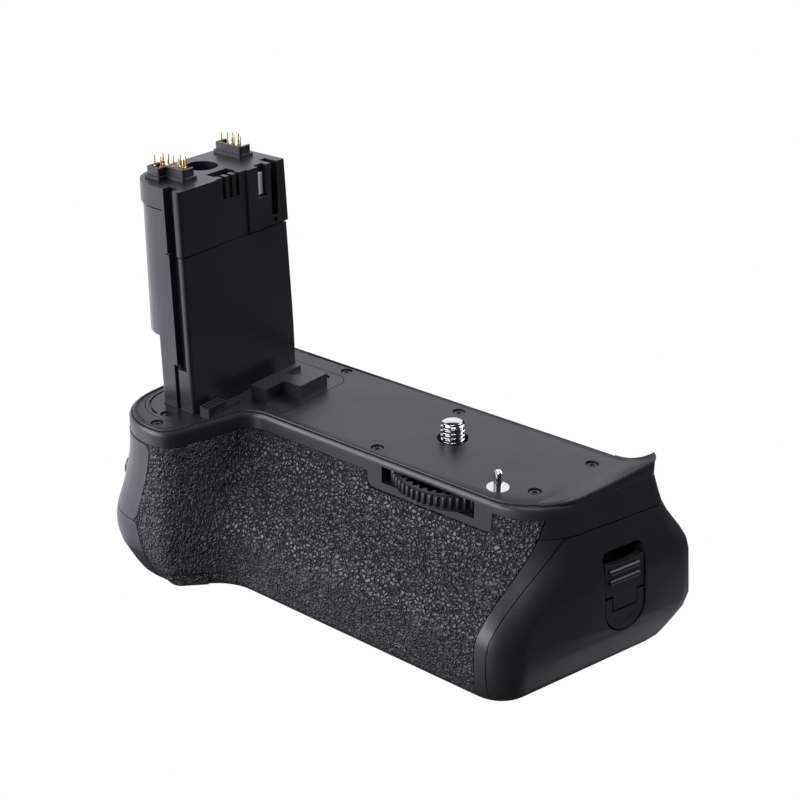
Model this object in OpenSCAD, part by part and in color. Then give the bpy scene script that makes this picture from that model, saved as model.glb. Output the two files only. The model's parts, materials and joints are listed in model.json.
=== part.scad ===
// Camera battery grip with a battery-shaped tower, in millimetres.
// The origin is the attachment screw's axis at the camera plate. +X runs away from the tower,
// +Y to the back and +Z up into the camera.

/* [Body form] */
// Height of the body below the camera plate
body_h = 46.5; // [45.5:0.5:48]
// Distance from the attachment screw to the plate's front edge
plate_front = 20.5; // [20:0.1:21.5]
// Distance from the attachment screw to the plate's back edge
plate_back = 18.1; // [17.6:0.1:18.8]
// Distance from the attachment screw to the plate's left edge
plate_left = 82; // [81.6:0.1:83]
// Room between the outer battery bay and the plate's right edge
end_room = 4.6; // [4.2:0.1:5.4]
// Front of the hand column at plate level
column_front = 45; // [44:0.1:47]
// Right side of the hand column at its front
column_right = 58.8; // [58:0.1:60]
// Swell of the front below the plate edge
bar_swell = 15; // [13:0.1:17]
// Swell of the back below the plate edge
back_swell = 8.5; // [7.5:0.1:10]
// Swell of the left end below the plate edge
left_swell = 2.6; // [2.2:0.1:3.4]
// Swell of the hand column's front
column_swell = 4; // [3:0.1:6]
// Flare of the right end below the plate edge
end_flare = 8; // [7:0.1:10]
// Outward lean of the right end under the flare
end_lean = 2.4; // [2:0.1:3.2]
// Slant of the right end in plan, in degrees
end_slant = 18; // [17.5:0.1:18.5]
// Slant of the seam between the body and the magazine cap, in degrees
seam_slant = 15.5; // [15:0.1:16]
// Rounding of the bottom edge
bottom_r = 4; // [3.6:0.1:4.8]
// Rounding of the plate's rim
rim_r = 1.5; // [1:0.1:2]

/* [Shells] */
// Depth of the seam between the top cover and the body
seam_d = 7.6; // [7.4:0.1:8]
// Gap at a seam between two shells
seam_gap = 0.2; // [0.1:0.05:0.3]
// Wall of the top cover
cover_wall = 1.8; // [1.6:0.1:2]
// Wall of the body round its inner chambers
body_wall = 4; // [3.8:0.1:4.4]
// Thickness of the rubber grip
skin_t = 1.3; // [1.1:0.1:1.4]
// Thickness of the control panel
panel_t = 1.7; // [1.6:0.1:2]
// Depth of the rubber's top edge under the plate
rubber_top = 4.7; // [4.4:0.1:5]
// Depth of the rubber's top edge beside the right end
rubber_rise = 3.3; // [3:0.1:3.8]
// Depth of the rubber's bottom edge under the plate
rubber_bottom = 41; // [38:0.1:42]
// Width of the bare strip between the rubber and the magazine cap
strip_w = 3.3; // [2.8:0.1:3.6]
// Depth of the control panel's lower seam
panel_bottom = 31; // [30:0.1:34]
// Height of the lip at the back of the right end
lip_h = 3.6; // [3:0.1:3.8]

/* [Attachment screw] */
// Diameter of the camera thread
screw_d = 6.35; // [6.2:0.05:6.4]
// Height of the camera thread above the plate
screw_h = 5.2; // [4.5:0.1:6]
// Gear module of the drive
gear_m = 0.75; // [0.74:0.01:0.76]
// Teeth inside the thumbwheel
ring_teeth = 40; // [40:1:41]
// Teeth on the screw's pinion
pinion_teeth = 12; // [11:1:12]
// Outer diameter of the thumbwheel
wheel_d = 34; // [33.6:0.1:34.6]
// Height of the thumbwheel's knurled band
wheel_h = 3.2; // [2.8:0.1:3.3]
// Grip teeth on the thumbwheel's rim
wheel_grips = 60; // [48:1:72]
// Play between the gear flanks at the pitch line
backlash = 0.16; // [0.1:0.02:0.2]
// Diameter of the alignment pin
align_d = 2.1; // [1.8:0.1:2.4]
// Height of the alignment pin above the plate
align_h = 4.4; // [3.5:0.1:5]

/* [Tower] */
// Width of the tower at its foot, front to back
tower_w = 41; // [40.5:0.1:41.5]
// Thickness of the tower at its foot
tower_t = 21.8; // [21.6:0.1:22.2]
// Height of the tower's top above the plate
tower_h = 61; // [58:0.5:63]
// Height of the ledge under the tower's head
head_z = 43.5; // [42:0.1:45]
// Height of the step in the parting line at the tower's side
head_step_z = 55; // [53:0.1:56]
// Distance of the tower's contact face from the attachment screw
tower_face = 60.6; // [60.4:0.1:61]
// Distance of the tower's front from the attachment screw
tower_front = 32.5; // [32:0.1:33]
// Height of the narrow foot of the tower
foot_z = 20; // [16:0.5:24]
// Diameter of a contact pin
contact_d = 0.7; // [0.6:0.05:0.8]
// Height of the contact pins above the tower
contact_h = 5.8; // [4.4:0.1:6]

/* [Magazine] */
// Length of a battery bay
bay_l = 57; // [56.8:0.2:59]
// Width of a battery bay
bay_w = 39.2; // [38.6:0.1:39.4]
// Height of a battery bay
bay_h = 21.9; // [21.4:0.1:22]
// Wall of the magazine tray
tray_wall = 1.2; // [1:0.05:1.25]
// Play of the tray in its well
tray_play = 0.4; // [0.3:0.05:0.5]
// Depth of the tray's top edge under the plate
tray_top = 16.6; // [16.4:0.1:17]
// Width of the latch recess
latch_w = 13.3; // [12.5:0.1:14]
// Depth of the latch recess
latch_d = 4.8; // [4.6:0.1:5]

/* [Controls] */
// Diameter of the shutter button
shutter_d = 7.6; // [7:0.1:7.8]
// Travel of the shutter button
shutter_travel = 1.2; // [0.8:0.1:1.2]
// Diameter of the main dial
dial_d = 13; // [12:0.1:13.4]
// Width of the main dial
dial_w = 4; // [3.6:0.1:4.2]
// Ribs on the main dial
dial_ribs = 30; // [24:1:36]
// Diameter of a back button
button_d = 5.4; // [4.8:0.1:5.6]
// Travel of a back button
button_travel = 0.6; // [0.4:0.1:0.7]
// Play round a button in its hole
button_play = 0.25; // [0.2:0.05:0.3]
// Travel of the power switch
switch_travel = 3; // [2:0.1:3.4]

/* [Hidden] */
$fn = 48;
plastic = "#232326";
rubber = "#1b1b1d";
metal = "#c9c9cc";
gold = "#c79a45";
board = "#1f5a3a";

// Shared forms: an ease between two depths, corner arcs and plan outlines.
arc_n = 9;
eps = 0.01;
function ease(v, a, b) = let (t = min(1, max(0, (v - a) / (b - a)))) t * t * (3 - 2 * t);
function ramp(v, a, b) = min(1, max(0, (v - a) / (b - a)));
function flat(p) = [p.x, p.y];
function side_of(u, v) = u.x * v.y - u.y * v.x > 0 ? 1 : -1;
// Points on one filleted corner, each with the outline's outward normal.
function corner_points(p, q, s, r, n) =
    let (a = (p - q) / norm(p - q))
    let (b = (s - q) / norm(s - q))
    let (half = acos(a * b) / 2)
    let (c = q + (a + b) / norm(a + b) * r / sin(half))
    let (side = side_of(q - p, s - q))
    let (from = q + a * r / tan(half) - c)
    let (start = atan2(from.y, from.x))
    [for (i = [0:n - 1])
        let (g = start + side * (180 - 2 * half) * i / (n - 1))
        concat(c + r * [cos(g), sin(g)], side * [cos(g), sin(g)])];
// Closed outline of corners given as [x, y, radius].
function round_outline(c, n = arc_n) =
    let (m = len(c))
    [for (i = [0:m - 1])
        each corner_points(flat(c[(i + m - 1) % m]), flat(c[i]), flat(c[(i + 1) % m]), c[i][2], n)];
function rect_corners(x0, x1, y0, y1, r) = [[x0, y1, r], [x0, y0, r], [x1, y0, r], [x1, y1, r]];
module round_rect(x0, x1, y0, y1, r) {
    polygon([for (p = round_outline(rect_corners(x0, x1, y0, y1, r), 5)) flat(p)]);
}
module span(x0, x1, y0, y1, z0, z1) {
    translate([x0, y0, z0]) cube([x1 - x0, y1 - y0, z1 - z0]);
}

// The tray's place under the plate, which sets the length of the body.
left_room = 2.8;
tray_left = -plate_left + left_room;
plate_right = tray_left + 3 * tray_wall + 2 * bay_l + end_room;

// The body's plan at a depth under the plate.
slope = tan(end_slant);
seam_slope = tan(seam_slant);
function front_y(d) = -plate_front - bar_swell * ease(d, 7, 31);
function column_y(d) = -column_front - column_swell * ease(d, 3, 30) + 3 * ease(d, 34, 47);
function left_x(d) = -plate_left - left_swell * ease(d, 4, 30) + 5 * ease(d, 32, 47);
function back_y(d) = plate_back + back_swell * ease(d, 6, 22) - 3.5 * ease(d, 33, 47);
function end_x(d) = plate_right + end_flare * ease(d, -8, 22) + end_lean * ramp(d, 12, 36)
    - 2.5 * ease(d, 34, 47);
function body_corners(d) =
    let (g = ease(d, 5, 32))
    let (f = front_y(d))
    let (b = back_y(d))
    let (low = ease(d, 34, 47))
    [[left_x(d), b, 9], [left_x(d), column_y(d), 16 + 1.5 * ease(d, 4, 14) - 4 * ease(d, 20, 32)],
        [-column_right + 1.3 * g, column_y(d), 7 - 2 * g], [-51.3 + 4.3 * g, f, 6 + 8 * g],
        [end_x(d) + f * slope + 1.4 * low, f + 0.9 * low, 17 - 7 * g],
        [end_x(d) + b * slope, b, 3 + 4 * ease(d, 6, 20) + 3 * low]];
function plan(d) = round_outline(body_corners(d));
// Inset of the rounded bottom edge and of the plate's rim.
function edge_inset(d) =
    let (low = max(0, d - body_h + bottom_r))
    let (high = max(0, rim_r - d))
    bottom_r - sqrt(max(0, bottom_r * bottom_r - low * low))
        + rim_r - sqrt(max(0, rim_r * rim_r - high * high));
function ring(d) = [for (p = plan(d)) [p[0] - p[2] * edge_inset(d), p[1] - p[3] * edge_inset(d), -d]];
// The plan drawn in by a wall's thickness, with its own corner radii.
least_r = 0.5;
function inset_corner(p, q, s, r, t) =
    let (a = (p - q) / norm(p - q))
    let (b = (s - q) / norm(s - q))
    let (side = side_of(q - p, s - q))
    let (move = side * t / sin(acos(a * b) / 2))
    concat(q + (a + b) / norm(a + b) * move, [max(least_r, r - side * t)]);
function inset_plan(d, t) =
    let (c = body_corners(d))
    let (m = len(c))
    let (inset = [for (i = [0:m - 1])
        inset_corner(flat(c[(i + m - 1) % m]), flat(c[i]), flat(c[(i + 1) % m]), c[i][2], t)])
    [for (p = round_outline(inset)) flat(p)];
plan_heart = [-60, -5];

// Solid through plan rings from the top depth to the bottom one.
module loft(depths) {
    k = len(depths);
    rings = [for (d = depths) ring(d)];
    n = len(rings[0]);
    points = concat([for (r = rings) each r],
        [[plan_heart.x, plan_heart.y, -depths[0]], [plan_heart.x, plan_heart.y, -depths[k - 1]]]);
    sides = [for (j = [0:k - 2]) for (i = [0:n - 1])
        let (a = j * n + i)
        let (b = j * n + (i + 1) % n)
        each [[a, b, b + n], [a, b + n, a + n]]];
    caps = [for (i = [0:n - 1])
        let (j = (i + 1) % n)
        each [[k * n, j, i], [k * n + 1, (k - 1) * n + i, (k - 1) * n + j]]];
    polyhedron(points = points, faces = concat(sides, caps));
}
edge_steps = [for (i = [0:4]) body_h - bottom_r + bottom_r * sin(i * 22.5)];
function depths_from(top, bottom, step) = [for (i = [0:ceil((bottom - top) / step) - 1]) top + i * step];
function body_depths(top) = concat(depths_from(top, body_h - bottom_r - 0.5, 2.9), edge_steps);

// Stretches of the plan outline, walked by length.
function seg(p, i) = norm(flat(p[i + 1]) - flat(p[i]));
function walk(p, t, i = 0) = t <= seg(p, i) || i >= len(p) - 2
    ? p[i] + (p[i + 1] - p[i]) * min(1, t / seg(p, i)) : walk(p, t - seg(p, i), i + 1);
function path_length(p) = norm([for (i = [0:len(p) - 2]) sqrt(seg(p, i))]) ^ 2;
function past_cap(p, x) = p[0] - p[1] * seam_slope - x;
// The outline cut off at a plane parallel to the right end.
function cut_path(p, x) =
    let (k = [for (i = [0:len(p) - 1]) if (past_cap(p[i], x) > 0) i][0])
    let (t = past_cap(p[k - 1], x) / (past_cap(p[k - 1], x) - past_cap(p[k], x)))
    concat([for (i = [0:k - 1]) p[i]], [p[k - 1] + (p[k] - p[k - 1]) * t]);
function samples(p, a, b, n) = [for (i = [0:n]) walk(p, a + (b - a) * i / n)];
function lifted(p, t, d) = [for (q = p) [q[0] - q[2] * t, q[1] - q[3] * t, -d]];

// Solid between two grids of points, the outer one first.
module sheet(outer, inner) {
    k = len(outer);
    m = len(outer[0]);
    o = k * m;
    points = concat([for (r = outer) each r], [for (r = inner) each r]);
    function quad(a, b, c, d) = [[a, b, c], [a, c, d]];
    skins = [for (j = [0:k - 2]) for (i = [0:m - 2])
        let (a = j * m + i)
        each concat(quad(a, a + 1, a + m + 1, a + m), quad(o + a + m, o + a + m + 1, o + a + 1, o + a))];
    rims = [for (i = [0:m - 2])
        let (z = (k - 1) * m + i)
        each concat(quad(i, o + i, o + i + 1, i + 1), quad(z, z + 1, o + z + 1, o + z))];
    ends = [for (j = [0:k - 2])
        let (a = j * m)
        let (b = j * m + m - 1)
        each concat(quad(o + a, a, a + m, o + a + m), quad(b, o + b, o + b + m, b + m))];
    polyhedron(points = points, faces = concat(skins, rims, ends));
}

// Rubber on the front: from the hand column's left corner to the strip beside the cap.
cap_x = plate_right + 3;
skin_seam = 1.5;
skin_first = arc_n + 3;
flank_n = 16;
grip_depths = concat(depths_from(seam_d, rubber_bottom - 1, 3.2), [rubber_bottom]);
// One row of the rubber's surface: the corner arcs as they are, then the flank up to a cut.
function front_row(d, t, x, from) =
    let (p = plan(d))
    let (start = walk([p[skin_first], p[skin_first + 1]], from))
    let (arcs = [for (i = [skin_first + 1:4 * arc_n - 2]) p[i]])
    let (flank = cut_path([for (i = [4 * arc_n - 1:6 * arc_n - 1]) p[i]], x))
    lifted(concat([start], arcs, samples(flank, 0, path_length(flank), flank_n)), t + edge_inset(d), d);
module front_skin(depths, inner, outer, x, from) {
    sheet([for (d = depths) front_row(d, outer, x, from)], [for (d = depths) front_row(d, inner, x, from)]);
}
// Smooth band of the cover that carries the wheel window and stays free of rubber.
band_x = [-11.5, 26.8];
band_d = 8.8;
band_r = 2;
module band(grow, front, back) {
    translate([0, back, 0]) rotate([90, 0, 0]) linear_extrude(back - front)
        round_rect(band_x[0] - grow, band_x[1] + grow, -band_d - grow, -rim_r, band_r);
}
// What stands above the rubber's top edge, left of its raised end.
module above_rubber(grow) span(-100, band_x[1], -60, 0, -rubber_top + grow, 5);
module rubber_bed(depths) {
    difference() {
        front_skin(concat([rubber_rise - seam_gap], depths), skin_t + seam_gap, -2,
            cap_x - strip_w + seam_gap, skin_seam - seam_gap);
        above_rubber(seam_gap);
    }
}
module rubber_grip() color(rubber) {
    difference() {
        front_skin(concat([rubber_rise], grip_depths), skin_t, 0, cap_x - strip_w, skin_seam + seam_gap);
        above_rubber(0);
        band(seam_gap, -40, 0);
    }
}

// Control panel on the left end.
function left_row(d, t, from, to) =
    let (p = [for (i = [arc_n - 1:2 * arc_n - 1]) plan(d)[i]])
    let (q = [for (i = [arc_n - 1:arc_n + 3]) plan(d)[i]])
    lifted(samples(p, from, path_length(q) + to, 16), t + edge_inset(d), d);
module left_skin(depths, inner, outer, from, to) {
    sheet([for (d = depths) left_row(d, outer, from, to)], [for (d = depths) left_row(d, inner, from, to)]);
}
panel_d = [seam_d + seam_gap, 12, 16, 20, 24, 28, panel_bottom];
bed_d = [seam_d - 1, 12, 16, 20, 24, 28, panel_bottom + seam_gap];
module panel_bed() left_skin(bed_d, panel_t + seam_gap, -2, 1, skin_seam + seam_gap);

// Places of the drive, the controls and the magazine.
ring_r = gear_m * ring_teeth / 2;
pinion_r = gear_m * pinion_teeth / 2;
drive_angle = -45.2;
wheel_c = (ring_r - pinion_r) * [cos(drive_angle), sin(drive_angle)];
wheel_top = 2.2;
wheel_low = wheel_top + wheel_h;
flange_h = 0.9;
grip_depth = 0.7;
flange_r = wheel_d / 2 - grip_depth - 0.1;
gear_low = wheel_low + flange_h;
run_gap = 0.1;
neck_r = 3;
journal_r = 2.2;
journal_gap = 0.05;
screw_hole_r = screw_d / 2 + 0.9;
cradle_d = gear_low + run_gap;
cradle_t = 1.8;
cradle_r = 18;
cradle_in = body_wall + 0.4;
post_r = 2;
post_angles = [15, 90, 165];
post_reach = 19.6;
floor_d = 14.2;
align_at = [23.6, -13.7];
pin_foot_r = align_d / 2 + 0.4;
pin_flange_r = 2.8;
pin_flange_t = 0.4;
pin_sunk = 0.05;
pin_tip = 0.4;
cover_screw_at = [[-65.6, -41], [-47.5, 14], [-11.7, -16.1], [-7.6, 13], [plate_right - 11.2, -10.1],
    [plate_right - 7.7, 10]];
tower_screw_at = [[-67.4, -35.9], [-50, 7]];
bottom_screw_at = [[-70, -34], [-58, -36], [-26, -28.2], [14, -28.2]];
head_r = 1.6;
shank_r = 0.8;
head_t = 0.7;
head_gap = 0.1;
sunk = 0.3;
boss_r = 2.3;
tray_low = tray_top + bay_h + tray_wall;
floor_t = body_h - tray_low - tray_play / 2;
tray_r = 3.6;
tray_y = [-21.5 - tray_wall, -21.5 + bay_w + tray_wall];
well_x = tray_left - tray_play;
well_end = 70;
// Window at the inner end of the well for the spring contacts.
window_y = [-10, 6];
window_z = [-33, -23];
window_in = 0.5;
bottom_reach = 5;
spring_t = 1.6;
spring_in = 0.6;
spring_w = 2;
spring_y = [-7.5, -3.5, 0.5];
spring_z = [-31, -25];
chamber_plan = 20;
chamber_wall = left_x(chamber_plan) + body_wall;
shutter_at = [-34.8, -21];
stop_gap = 0.1;
stop_t = 0.8;
shutter_rim = 0.5;
shutter_boss = 2.6;
shutter_stop = chamber_wall + shutter_boss;
button_rim = 0.6;
dial_out = 1.7;
dial_at = [left_x(chamber_plan) + dial_d / 2 - dial_out, -27, -21];
dial_gap = 0.35;
dial_shaft_r = 1.2;
dial_shaft_l = 6;
dial_boss = 2.6;
floor_plan = 9;
switch_at = [-8, -20];
button_x = [-46, -55, -64];
button_z = -11.5;
chamber_y = -24.5;
chamber_x = -62;
chamber_d = 36;
tripod_r = 5.5;
tripod_t = 0.64 * floor_t;
tripod_bore = 3.175;

module at_points(list, z) for (p = list) translate([p.x, p.y, z]) children();
module cap_side(x) {
    translate([x, 0, 0]) rotate(-seam_slant) span(0, 60, -90, 90, -80, 20);
}
module body_side(x) {
    translate([x, 0, 0]) rotate(-seam_slant) span(-200, 0, -90, 90, -80, 20);
}

// Top cover: camera plate, front band, lip and screw bosses.
lip_front = -9;
lip_w = 8;
ramp_r = 13;
module lip() {
    rise = plate_back - lip_front;
    bow = rise * rise / (2 * lip_h);
    intersection() {
        translate([end_x(0), 0, 0]) rotate(-end_slant) difference() {
            span(-lip_w, 5, lip_front, plate_back + 9, -1, lip_h);
            translate([0, lip_front, bow]) rotate([0, 90, 0])
                cylinder(r = bow, h = 60, center = true, $fn = 200);
            translate([-lip_w, 0, ramp_r]) rotate([90, 0, 0])
                cylinder(r = ramp_r, h = 90, center = true, $fn = 96);
        }
        translate([0, 0, -2]) linear_extrude(lip_h + 3) polygon(inset_plan(rim_r, 0.3));
    }
}
base_in = 2.5;
base_front = -38.6;
base_corners = [[-plate_left + base_in, 10.5, 9], [-plate_left + base_in, base_front, 11],
    [-58.4, base_front, 4], [-52.4, -19.5, 4], [-43.5, -17.5, 3], [-43.5, 10.5, 4]];
base_t = 1.5;
module base_outline(grow) {
    offset_corners = [for (p = round_outline(base_corners, 6)) [p[0] + p[2] * grow, p[1] + p[3] * grow]];
    polygon(offset_corners);
}
module top_cover() color(plastic) {
    difference() {
        union() {
            difference() {
                union() {
                    loft([0, 0.35, 0.9, rim_r, 3, 5, seam_d]);
                    lip();
                }
                rubber_bed([seam_d - 1.5, seam_d + 1]);
                translate([0, 0, -seam_d - 1]) linear_extrude(seam_d + 1 - cover_wall)
                    polygon(inset_plan(3, body_wall - skin_t));
            }
            band(-seam_gap / 2, -plate_front, -plate_front + cover_wall);
            at_points(cover_screw_at, -seam_d) cylinder(r = boss_r, h = seam_d - eps);
        }
        span(wheel_c.x - 14.2, wheel_c.x + 14.2, -30, -plate_front + 4, -gear_low - 0.2, -wheel_top + 0.3);
        translate([0, 0, -5]) cylinder(r = screw_hole_r, h = 10);
        translate([align_at.x, align_at.y, -5]) cylinder(r = pin_foot_r, h = 10);
        translate([align_at.x, align_at.y, -pin_sunk - pin_flange_t])
            cylinder(r = pin_flange_r + head_gap, h = 5);
        at_points(cover_screw_at, -head_t - 0.2) cylinder(r = head_r + head_gap, h = 5);
        at_points(concat(cover_screw_at, tower_screw_at), -20) cylinder(r = shank_r, h = 25);
        translate([0, 0, -base_t]) linear_extrude(5) base_outline(seam_gap);
        translate([0, 0, -5]) linear_extrude(10) foot_outline(seam_gap);
    }
}

// Body: closed shell with the magazine well, the board chamber and the control chamber.
module well() {
    translate([0, 0, -tray_low - tray_play / 2]) linear_extrude(bay_h + tray_wall + 1.5 * tray_play)
        round_rect(well_x, well_end, tray_y[0] - tray_play, tray_y[1] + tray_play, tray_r + tray_play);
}
module body_shell() color(plastic) {
    difference() {
        loft(body_depths(seam_d + seam_gap));
        cap_side(cap_x);
        rubber_bed(concat(grip_depths, [rubber_bottom + seam_gap]));
        band(seam_gap, -40, -plate_front + cover_wall + seam_gap);
        panel_bed();
        well();
        translate([0, 0, -floor_d]) linear_extrude(floor_d) polygon(inset_plan(floor_plan, body_wall));
        difference() {
            translate([0, 0, -chamber_d]) linear_extrude(chamber_d - floor_d + 1) intersection() {
                polygon(inset_plan(chamber_plan, body_wall));
                translate([-100, -60]) square([100 + chamber_x, 60 + chamber_y]);
            }
            translate(dial_at) cube([2 * dial_boss, dial_shaft_l + 0.6, 2 * dial_boss], center = true);
            translate([chamber_wall - 1, shutter_at.x, shutter_at.y]) rotate([0, 90, 0])
                cylinder(r = shutter_d / 2 + 2 * shutter_rim, h = 1 + shutter_boss);
        }
        translate([shutter_stop, shutter_at.x, shutter_at.y]) rotate([0, 90, 0])
            cylinder(r = shutter_d / 2 + shutter_rim + button_play, h = 2 * stop_gap + stop_t + shutter_travel);
        translate([-90, shutter_at.x, shutter_at.y]) rotate([0, 90, 0])
            cylinder(r = shutter_d / 2 + button_play, h = 20);
        translate(dial_at) rotate([90, 0, 0])
            cylinder(r = dial_d / 2 + dial_gap, h = dial_w + 2 * dial_gap, center = true);
        translate(dial_at) rotate([90, 0, 0]) cylinder(r = dial_shaft_r, h = dial_shaft_l, center = true);
        for (x = button_x) translate([x, 10, button_z]) rotate([-90, 0, 0])
            cylinder(r = button_d / 2 + button_play, h = 20);
        for (x = button_x) translate([x, button_stop - button_travel - stop_gap, button_z]) rotate([-90, 0, 0])
            cylinder(r = button_d / 2 + button_rim + button_play, h = button_travel + stop_t + 2 * stop_gap);
        translate([0, 0, -body_h - 1]) cylinder(r = tripod_r, h = tripod_t + 1);
        at_points(bottom_screw_at, -body_h - 1) cylinder(r = head_r + head_gap, h = 1 + sunk + head_t);
        at_points(bottom_screw_at, -body_h) cylinder(r = shank_r, h = bottom_reach);
        span(well_x - spring_t, well_x + 1, window_y[0], window_y[1], window_z[0], window_z[1]);
        thumb_bed();
    }
}

// Rubber thumb rest on the back.
thumb_x = [-66, -36];
thumb_d = [18, 38];
pad_gap = 0.05;
function back_profile(a, b, t) = [for (i = [0:6]) let (d = a + (b - a) * i / 6) [back_y(d) + t, -d]];
module back_strip(grow, inner, outer) {
    a = thumb_d[0] - grow;
    b = thumb_d[1] + grow;
    translate([thumb_x[1] + grow, 0, 0]) rotate([90, 0, -90])
        linear_extrude(thumb_x[1] - thumb_x[0] + 2 * grow) mirror([1, 0])
        polygon(concat(back_profile(a, b, outer), back_profile(b, a, inner)));
}
module thumb_bed() back_strip(seam_gap, -skin_t, 3);
module rear_thumb_pad() color(rubber) back_strip(0, -skin_t + pad_gap, 0.5);

module control_panel() color(plastic) {
    difference() {
        left_skin(panel_d, panel_t, 0, 1 + seam_gap, skin_seam);
        translate([-90, shutter_at.x, shutter_at.y]) rotate([0, 90, 0])
            cylinder(r = shutter_d / 2 + button_play, h = 20);
        translate(dial_at) rotate([90, 0, 0])
            cylinder(r = dial_d / 2 + dial_gap, h = dial_w + 2 * dial_gap, center = true);
        span(-90, left_x(-switch_at.y) + 0.9, switch_at.x - 2.4, switch_at.x + 2.4 + switch_travel,
            switch_at.y - 2.2, switch_at.y + 2.2);
    }
}

// Tower: base plate, column with its key groove, head with terminals.
tower_x = [-tower_face - tower_t, -tower_face];
tower_y = [-tower_front, -tower_front + tower_w];
tower_draft = [1.75, 2.8];
column_in = 0.4;
foot_x = -72.6;
key_x = [-66, -62.6];
key_depth = 2.5;
slot_x = [-71, -67.8];
slot_y = [-20, -8];
head_x = slot_x[1] + 0.8;
part_gap = 0.1;
groove_h = 0.5;
groove_in = 0.8;
tower_r = 10;
side_slot_z = [22, 32];
side_slot_w = 0.9;
side_slot_turn = -132;
module behind_tower(shrink) {
    translate([0, tower_y[1] - shrink, 0]) rotate([tower_draft[1], 0, 0]) span(-99, 0, 0, 9, -9, 99);
}
// Tower block, drafted at its outer side and its back.
module tower_block(shrink, z0, z1) {
    x = tower_x[0] + shrink;
    y = [tower_y[0] + shrink, tower_y[1] - shrink];
    corners = [[0, y[1], 3], [0, y[0], tower_r], [50, y[0], 1], [50, y[1], 1]];
    difference() {
        intersection() {
            translate([x, 0, 0]) rotate([0, tower_draft[0], 0]) linear_extrude(2 * tower_h)
                polygon([for (p = round_outline(corners, 6)) flat(p)]);
            translate([0, 0, z0]) linear_extrude(z1 - z0) round_rect(x - 9, tower_x[1] - shrink, y[0], y[1], 1);
        }
        behind_tower(shrink);
    }
}
// Groove that shows where the head meets the column.
module part_groove(x0, x1, z) {
    difference() {
        span(x0, x1, -60, 60, z, z + groove_h);
        tower_block(groove_in, z - 1, z + 1);
    }
}
module foot_outline(grow) {
    round_rect(foot_x - grow, tower_x[1] - column_in + grow, tower_y[0] + column_in - grow,
        tower_y[1] - column_in + grow, 1);
}
// Raised blocks at the tower's foot: x, y and height.
base_blocks = [[-51.5, -45.3, -7.7, 3.3, 4], [-57, -51.5 + eps, -14.5, 3.3, 3.6],
    [-59.4, -56.2, -31.3, -24.6, 3], [-58.8, -56.6, -24.6 - eps, -19.2, 1]];
rib_x = [-58.6, -57.4];
rib_w = 0.5;
// Channel along the plate's round end: its inner and outer edge and its depth.
channel_in = [0.9, 1.5];
channel_t = 0.5;
channel_end = -69.6;
module tower_base_plate() color(plastic) {
    difference() {
        union() {
            translate([0, 0, -base_t]) linear_extrude(base_t) base_outline(0);
            for (b = base_blocks) span(b[0], b[1], b[2], b[3], -eps, b[4]);
        }
        translate([0, 0, -base_t - 1]) linear_extrude(base_t + 2) foot_outline(seam_gap);
        span(-55, -49, -3, 5, 2.4, 9);
        for (x = rib_x) span(x, x + rib_w, -32, -24, 2.6, 9);
        translate([0, 0, -channel_t]) linear_extrude(1) intersection() {
            difference() {
                base_outline(-channel_in[0]);
                base_outline(-channel_in[1]);
            }
            translate([channel_end - 50, -60]) square([50, 90]);
        }
        at_points(tower_screw_at, -head_t - 0.2) cylinder(r = head_r + head_gap, h = 5);
        at_points(tower_screw_at, -5) cylinder(r = shank_r, h = 9);
    }
}
module tower_column() color(plastic) {
    difference() {
        union() {
            tower_block(column_in, foot_z, head_step_z);
            difference() {
                translate([0, 0, -seam_d + 2]) linear_extrude(foot_z + seam_d - 2 + eps) foot_outline(0);
                behind_tower(column_in);
            }
            translate([0, 0, -seam_d + 2]) linear_extrude(seam_d - 2 - cover_wall)
                round_rect(-78, -58.4, -34, 7, 2);
        }
        span(head_x, 0, -60, 60, head_z, 90);
        span(key_x[0], key_x[1], tower_y[0] - 1, tower_y[0] + key_depth, 12, 90);
        span(key_x[0] - 1.2, key_x[0] + 0.3, tower_y[0] - 1, tower_y[0] + 1.4, 0.1, 13);
        span(slot_x[0], slot_x[1], slot_y[0], slot_y[1], -9, 90);
        translate([tower_x[0] + tower_r, tower_y[0] + tower_r, 0]) rotate(side_slot_turn)
            span(tower_r - 1.6, tower_r + 4, -side_slot_w / 2, side_slot_w / 2, side_slot_z[0], side_slot_z[1]);
    }
}
band_y = [-19.2, -8.2];
comb_y = [-16.2, -13.8, -11.4];
contact_slot_y = [-4.4, -1.2];
guide_y = [0.4, 2.8];
round_well = [-72.8, -12.6];
module tower_head() color(plastic) {
    difference() {
        tower_block(0, head_z + part_gap, tower_h);
        span(-100, head_x + part_gap, -60, 60, head_z - 1, head_step_z + part_gap);
        part_groove(-100, head_x, head_step_z);
        part_groove(head_x, 0, head_z);
        span(key_x[0], key_x[1], tower_y[0] - 1, tower_y[0] + key_depth, 0, 90);
        span(tower_x[1] - 0.5, 0, band_y[0], band_y[1], 0, 90);
        for (y = comb_y) span(tower_x[1] - 3.6, 0, y - 0.55, y + 0.55, 55, 90);
        span(tower_x[1] - 5.6, tower_x[1] - 2.4, band_y[0] + 1.6, band_y[1] - 2, tower_h - 1.6, 90);
        span(tower_x[1] - 1.8, 0, contact_slot_y[0], contact_slot_y[1], 52.6, 90);
        span(tower_x[1] - 4.2, 0, guide_y[0], guide_y[1], 46.6, 90);
        translate([tower_x[1] - 0.6, guide_y[0] + 1.2, 45.2]) rotate([0, 90, 0]) cylinder(r = 0.8, h = 3);
        translate([round_well.x, round_well.y, tower_h - 8]) cylinder(r = 4.3, h = 12);
        span(slot_x[0], slot_x[1], slot_y[0], slot_y[0] + 2.4, 0, 58);
    }
}

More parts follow.
